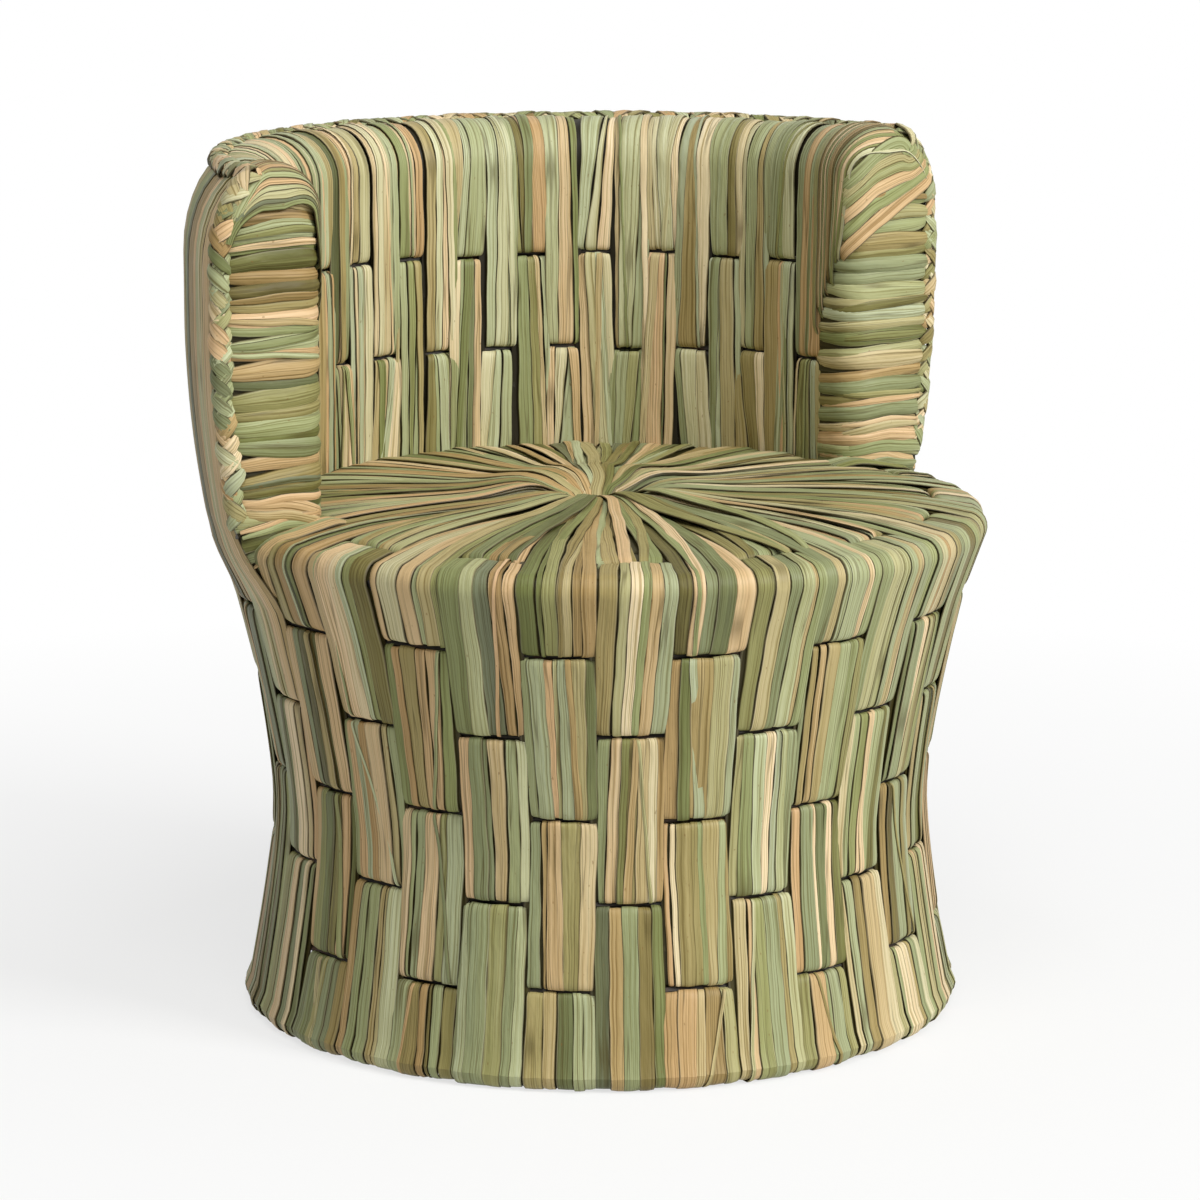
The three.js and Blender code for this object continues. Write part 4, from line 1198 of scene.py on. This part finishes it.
# %% One winding
def winding(hand, rng, level, slope, sunk, width, finish, puff, ends):
    """One winding of an arm. ends is how narrow it gets at both edges."""
    over = min(max(level - 0.640, 0.0) / 0.055, 1.0)
    under = min(max(0.500 - level, 0.0) / 0.075, 1.0)
    sag = rng.uniform(-0.0030, 0.0030)
    puff = puff * (1 - 0.75 * over)

    def height_of(share):
        arch = (0.010 * over + sag) * math.sin(math.pi * min(share / 0.75, 1.0))
        fall = 0.030 * over * max(share - 0.40, 0.0) ** 1.5 + 0.046 * under * max(0.35 - share, 0)
        return level + slope * (0.5 - share) + arch - fall

    points = winding_way(height_of)
    points[:, 1] += sunk
    points[:, 0] *= hand
    share = np.linspace(0, 1, len(points))
    lens = np.interp(share, [0, 0.10, 0.19, 0.33, 0.48, 0.62, 0.76, 1],
                     [0, 0.20, 0.60, 1, 1, 0.72, 0.35, 0.2])
    grown = width * (ends + (1.2 - ends) * lens)
    puff = puff * np.interp(share, [0, 0.2, 0.65, 1], [0.5, 1, 1, 0.25])
    return lay_strip(points, (0, 0, hand), grown, finish, rng, rng.uniform(0.0009, 0.0015), puff,
                     rng.uniform(-0.10, 0.10), 6)


# %% [markdown]
# Every second winding lies proud of its neighbours. Thinner strips cross them here and there,
# and a layer under all is painted dark, as shade.

# %% All windings of an arm
WINDING_TURNS = 25
WINDING_FOOT = 0.4300
WINDING_TOP = 0.7000


def wind_arm(hand, seed, slopes, bias, straw, last):
    """All windings of one arm end: the hidden layer, painted dark as shade, the folded strips, and
    a few thin ones.
    """
    rng = np.random.default_rng(seed)
    pitch = (WINDING_TOP - WINDING_FOOT) / WINDING_TURNS
    windings = []
    # The hidden layer has a light value below zero: painted shade under the windings.
    for turn in range(-1, WINDING_TURNS + 1):
        level = WINDING_FOOT + (turn + 0.5) * pitch
        windings.append(winding(hand, rng, level, 0.0, 0.0036, 1.4 * pitch, (-0.6, 0.4), 0.0, 1.2))
    for turn in range(-1, WINDING_TURNS):
        level = WINDING_FOOT + (turn + 0.5) * pitch + rng.uniform(-0.0012, 0.0012)
        slope = rng.uniform(*slopes)
        proud = turn % 2 == 0
        width = pitch * (rng.uniform(1.25, 1.60) if proud else rng.uniform(1.00, 1.25))
        windings.append(winding(hand, rng, level, slope, 0.0 if proud else 0.0010, width,
                                leaf_finish(rng, bias, straw), rng.uniform(0.0020, 0.0036),
                                rng.uniform(0.40, 0.75) if turn > 2 else 1.0))
        if rng.random() < 0.45:
            windings.append(winding(hand, rng, level + rng.uniform(-0.5, 0.5) * pitch,
                                    slope + rng.uniform(-0.012, 0.012), -0.0030,
                                    pitch * rng.uniform(0.40, 0.65),
                                    leaf_finish(rng, bias, straw), 0.0008, 0.4))
    for level, slope, sunk, width, finish in last:
        windings.append(winding(hand, rng, level, slope, sunk, width, finish, 0.0012, 0.9))
    return windings


# %% [markdown]
# Where the arm meets the seat, the windings leave a corner open. A few slanted strips, laid
# last, and four that come up outside and roll over the rim close it.

# %% The foot of an arm
def foot_strip(hand, rng, k):
    """A strip that comes up outside, rolls over the rim at the foot of an arm, and closes it."""
    aside = np.array([16, 14, 11, 7, 3, 0, -1, 1, 8]) / 1000 - 0.0065 * k
    heights = [0.372, 0.386, 0.402, 0.4165, 0.4285, 0.4325, 0.4365, 0.4390, 0.4350]
    reaches = [skin_radius(0.372) - 0.003, skin_radius(0.386) + 0.0008,
               skin_radius(0.402) + 0.0016, 0.3300, 0.3180, 0.3020, 0.2840, 0.2640, 0.2460]
    places = [(hand * math.sqrt(r ** 2 - y ** 2), y + AXIS_Y, z)
              for r, y, z in zip(reaches, aside, heights)]
    outs = [(hand * (1 - up), -0.25, 0.15 + up) for up in [0.0] * 4 + [1.0] * 5]
    points = smooth_way(places, 30)
    outs = normalised(smooth_way(outs, 30))
    return lay_strip(points, side_of(points, outs), rng.uniform(0.010, 0.013),
                     leaf_finish(rng, 0.50), rng, 0.0009, 0.0006)


# %% Wind both arms
# Height, slope, depth under the others, width, light and warm.
LAST_RIGHT = [(0.4400, -0.006, -0.0012, 0.0130, (0.62, 0.80)),
              (0.4460, 0.012, -0.0022, 0.0110, (0.50, -0.20))]
LAST_LEFT = [(0.4420, 0.024, -0.0012, 0.0140, (0.60, 0.15)),
             (0.4490, 0.038, -0.0024, 0.0105, (0.66, 0.85)),
             (0.4420, 0.042, -0.0030, 0.0090, (0.58, 0.60))]
# The left arm's bias is lower than the right's: its leaf is darker, partly as painted shade on the
# arm away from the key lamp.
for name, hand, seed, slopes, bias, straw, last in (
        ("right", 1, 401, (-0.004, 0.016), 0.52, 0.75, LAST_RIGHT),
        ("left", -1, 402, (-0.011, 0.009), 0.35, 1.0, LAST_LEFT)):
    node = f"arm_winding_{name}"
    rng = np.random.default_rng(seed + 10)
    windings = wind_arm(hand, seed, slopes, bias, straw, last)
    windings += [foot_strip(hand, rng, k) for k in (2, 1, 0, -1)]
    print(node, "strips", len(windings))
    pieces.append(bind(windings, f"leaf_{node}", back_leaf, node))

# %% [markdown]
# ## The braid
#
# A cord of chain stitches closes the edge. It climbs the outer edge of one arm, follows the top
# edge behind its crest and comes down the other arm. Each stitch is a short strip that starts
# low on one side, passes over the crest and tucks in under the stitch from the other side, so
# that the row of stitches looks like an ear of wheat. Three twisted cords would make a rope, and
# a rope has none of these flat lobes.

# %% The line of the braid
BRAID_FOOT = 0.437


def braid_line():
    """Points along the braid, and the direction that faces away from the wall there."""
    line = []
    centre = BRAID_DIAMETER / 2
    for step in range(24):
        height = BRAID_FOOT + (OUTER_ROLL_FOOT - BRAID_FOOT) * step / 24
        reach = skin_radius(height) + float(arm_lean(0.0, height)) - centre
        line.append(((reach, ARM_FACE + centre, height), (0.62, -0.78, 0.0)))
    bend = 10
    for step in range(bend + 1):
        share = step / bend
        turn = math.pi / 2 + (BRAID_TURN - math.pi / 2) * share
        reach, height = outer_roll(turn, centre * (1 - share) + 0.0006)
        reach += float(arm_lean(0.0, height))
        lean = (0.62 * (1 - share) + 0.25 * share, -0.78 * (1 - share), share)
        line.append(((reach, ARM_FACE + centre, height), lean))
    reach, height = outer_roll(BRAID_TURN, 0.0006)
    start = math.asin((ARM_FACE + centre) / reach)
    steps = 60
    for step in range(1, steps + 1):
        angle = start + (math.pi / 2 - start) * step / steps
        out = reach + float(arm_lean(angle, height))
        line.append(((out * math.cos(angle), out * math.sin(angle), height),
                     (0.35 * math.cos(angle), 0.35 * math.sin(angle), 0.94)))
    mirrored = [((-p[0], p[1], p[2]), (-n[0], n[1], n[2])) for p, n in reversed(line[:-1])]
    line += mirrored
    points = np.array([p for p, _ in line]) + np.array([0, AXIS_Y, 0])
    return points, normalised(np.array([n for _, n in line]))


braid_points, braid_faces = braid_line()
braid_length = np.concatenate(
    [[0], np.cumsum(np.linalg.norm(np.diff(braid_points, axis=0), axis=1))])
print("braid length", round(float(braid_length[-1]), 3), "m")


# %% A place on the braid
def on_braid(distance, sideways_by, out_by):
    """A point of the braid from its distance along, across and out, and the frame there."""
    place, ahead, behind = (
        np.array([np.interp(distance + shift, braid_length, braid_points[:, k])
                  for k in range(3)]) for shift in (0.0, 0.004, -0.004))
    face = np.array([np.interp(distance, braid_length, braid_faces[:, k]) for k in range(3)])
    along = (ahead - behind) / np.linalg.norm(ahead - behind)
    across = np.cross(face, along)
    across /= np.linalg.norm(across)
    face = np.cross(along, across)
    return place + across * sideways_by + face * out_by, along, across, face


# %% [markdown]
# A stitch is given by a few places: how far along the braid, how far to its side, and how far
# out, in millimetres. No two stitches are pulled equally tight.

# %% One stitch
LOBE = [(0.0, -7.6, -2.5), (2.5, -7.8, 0.8), (5.5, -6.4, 3.6), (9.0, -3.4, 5.8),
        (13.0, 0.4, 6.6), (17.0, 3.8, 5.2), (20.0, 5.6, 2.8), (22.5, 6.2, 0.0)]
LOBE_WIDTHS = np.array([5.0, 7.6, 10.6, 12.0, 12.0, 10.4, 7.6, 5.0]) / 1000


def stitch(start, hand, rng, finish):
    """One stitch: it starts on one side and passes over the crest to the other."""
    points, sides = [], []
    swell = rng.uniform(0.90, 1.24)
    aslant = rng.uniform(-0.0010, 0.0010)
    for ahead, aside, out in LOBE:
        point, along, across, face = on_braid(start + ahead / 1000 * rng.uniform(0.97, 1.03),
                                              hand * aside * swell / 1000 + aslant,
                                              out * swell / 1000)
        points.append(point)
        sides.append((along, across, face))
    points = np.array(points)
    heading = normalised(np.gradient(points, axis=0))
    out = np.array([face + across * hand * np.clip(aside / 7, -1, 1) * 0.9
                    for (_, across, face), (_, aside, _) in zip(sides, LOBE)])
    side = normalised(np.cross(heading, out))
    return lay_strip(points, side, LOBE_WIDTHS * rng.uniform(0.85, 1.15), finish, rng, 0.0016,
                     rng.uniform(0.0004, 0.0012))


# %% Lay the braid
STITCH = 0.0145
rng = np.random.default_rng(500)
stitches = []
distance = 0.002
while distance < braid_length[-1] - 0.026:
    for hand, offset in ((1, 0.0), (-1, 0.5)):
        place = distance + offset * STITCH + rng.uniform(-0.0012, 0.0012)
        stitches.append(stitch(max(place, 0.0), hand, rng, leaf_finish(rng, 0.62)))
    distance += STITCH
pieces.append(bind(stitches, "leaf_edge_braid", cord_leaf, "edge_braid", 0.0016))
print("stitches", len(stitches))

# %% [markdown]
# ## Floor and light
#
# The chair stands on a plain pale floor. To the camera, and in gloss, the surroundings are white,
# and the floor turns white too, little by little, away from the chair. Near it the paint shows
# through and keeps the chair's shadow. A floor that only glows would be simpler, but without a
# shadow the chair would seem to float. A large soft lamp stands to the right of the camera, a
# weaker one to the left, one hangs above, and pale surroundings fill the shade.

# %% The studio floor
for blank in blanks.values():
    bpy.data.objects.remove(blank, do_unlink=True)


def seen_directly(tree):
    """1 for what the camera sees, straight or in gloss or glass, and 0 for light on the chair."""
    rays = add_node(tree, "ShaderNodeLightPath").outputs
    gloss = add_node(tree, "ShaderNodeMath", {0: rays["Is Glossy Ray"],
                                              1: rays["Is Transmission Ray"]}, operation="MAXIMUM")
    return add_node(tree, "ShaderNodeMath", {0: rays["Is Camera Ray"], 1: gloss.outputs["Value"]},
                    operation="MAXIMUM").outputs["Value"]


bpy.ops.object.select_all(action="DESELECT")
bpy.ops.mesh.primitive_plane_add(size=40.0, location=(0, 0, -0.0005))
floor = bpy.context.object
floor.name = "studio_floor"
floor_paint, tree, shader = new_material("matt_white_paint_floor")
glow = add_node(tree, "ShaderNodeEmission", {"Color": (1.0, 1.0, 1.0, 1.0), "Strength": 1.0})
shader.inputs["Base Color"].default_value = colour(0xE6E6E4)
shader.inputs["Roughness"].default_value = 0.9
place = add_node(tree, "ShaderNodeTexCoord").outputs["Object"]
away = add_node(tree, "ShaderNodeVectorMath", {0: place}, operation="LENGTH")
fading = add_node(tree, "ShaderNodeMapRange",
                  {"Value": away.outputs["Value"], "From Min": 0.45, "From Max": 1.60,
                   "To Min": 0.70, "To Max": 1.0})
whiteness = add_node(tree, "ShaderNodeMath",
                     {0: seen_directly(tree), 1: fading.outputs["Result"]}, operation="MULTIPLY")
seen = add_node(tree, "ShaderNodeMixShader",
                {0: whiteness.outputs["Value"], 1: shader.outputs["BSDF"],
                 2: glow.outputs["Emission"]})
tree.links.new(seen.outputs["Shader"], tree.nodes["Material Output"].inputs["Surface"])
floor.data.materials.append(floor_paint)

# %% The surroundings and the lamps
world = bpy.data.worlds.new("studio_world")
bpy.context.scene.world = world
world.use_nodes = True
sky = world.node_tree
sky.nodes.clear()
plain = add_node(sky, "ShaderNodeBackground", {"Color": colour(0xF2F4F6), "Strength": 0.21})
white = add_node(sky, "ShaderNodeBackground", {"Color": (1.0, 1.0, 1.0, 1.0), "Strength": 1.0})
chosen = add_node(sky, "ShaderNodeMixShader",
                  {0: seen_directly(sky), 1: plain.outputs["Background"],
                   2: white.outputs["Background"]})
add_node(sky, "ShaderNodeOutputWorld", {"Surface": chosen.outputs["Shader"]})


def soft_lamp(name, place, size, power):
    """A square lamp that points at the middle of the chair."""
    data = bpy.data.lights.new(name, "AREA")
    data.size = size
    data.energy = power
    lamp = bpy.data.objects.new(name, data)
    bpy.context.scene.collection.objects.link(lamp)
    lamp.location = place
    aim = Vector((0, 0, 0.4)) - Vector(place)
    lamp.rotation_euler = aim.to_track_quat("-Z", "Y").to_euler()


soft_lamp("key_lamp", (2.8, -6.3, 4.6), 2.5, 545)
soft_lamp("fill_lamp", (-1.8, -6.2, 5.0), 3.0, 60)
soft_lamp("top_lamp", (-1.4, -1.8, 5.0), 2.5, 110)

bpy.context.scene.view_settings.view_transform = "Standard"

# %% Finish
print("triangles", sum(len(p.data.polygons) * 2 for p in pieces))
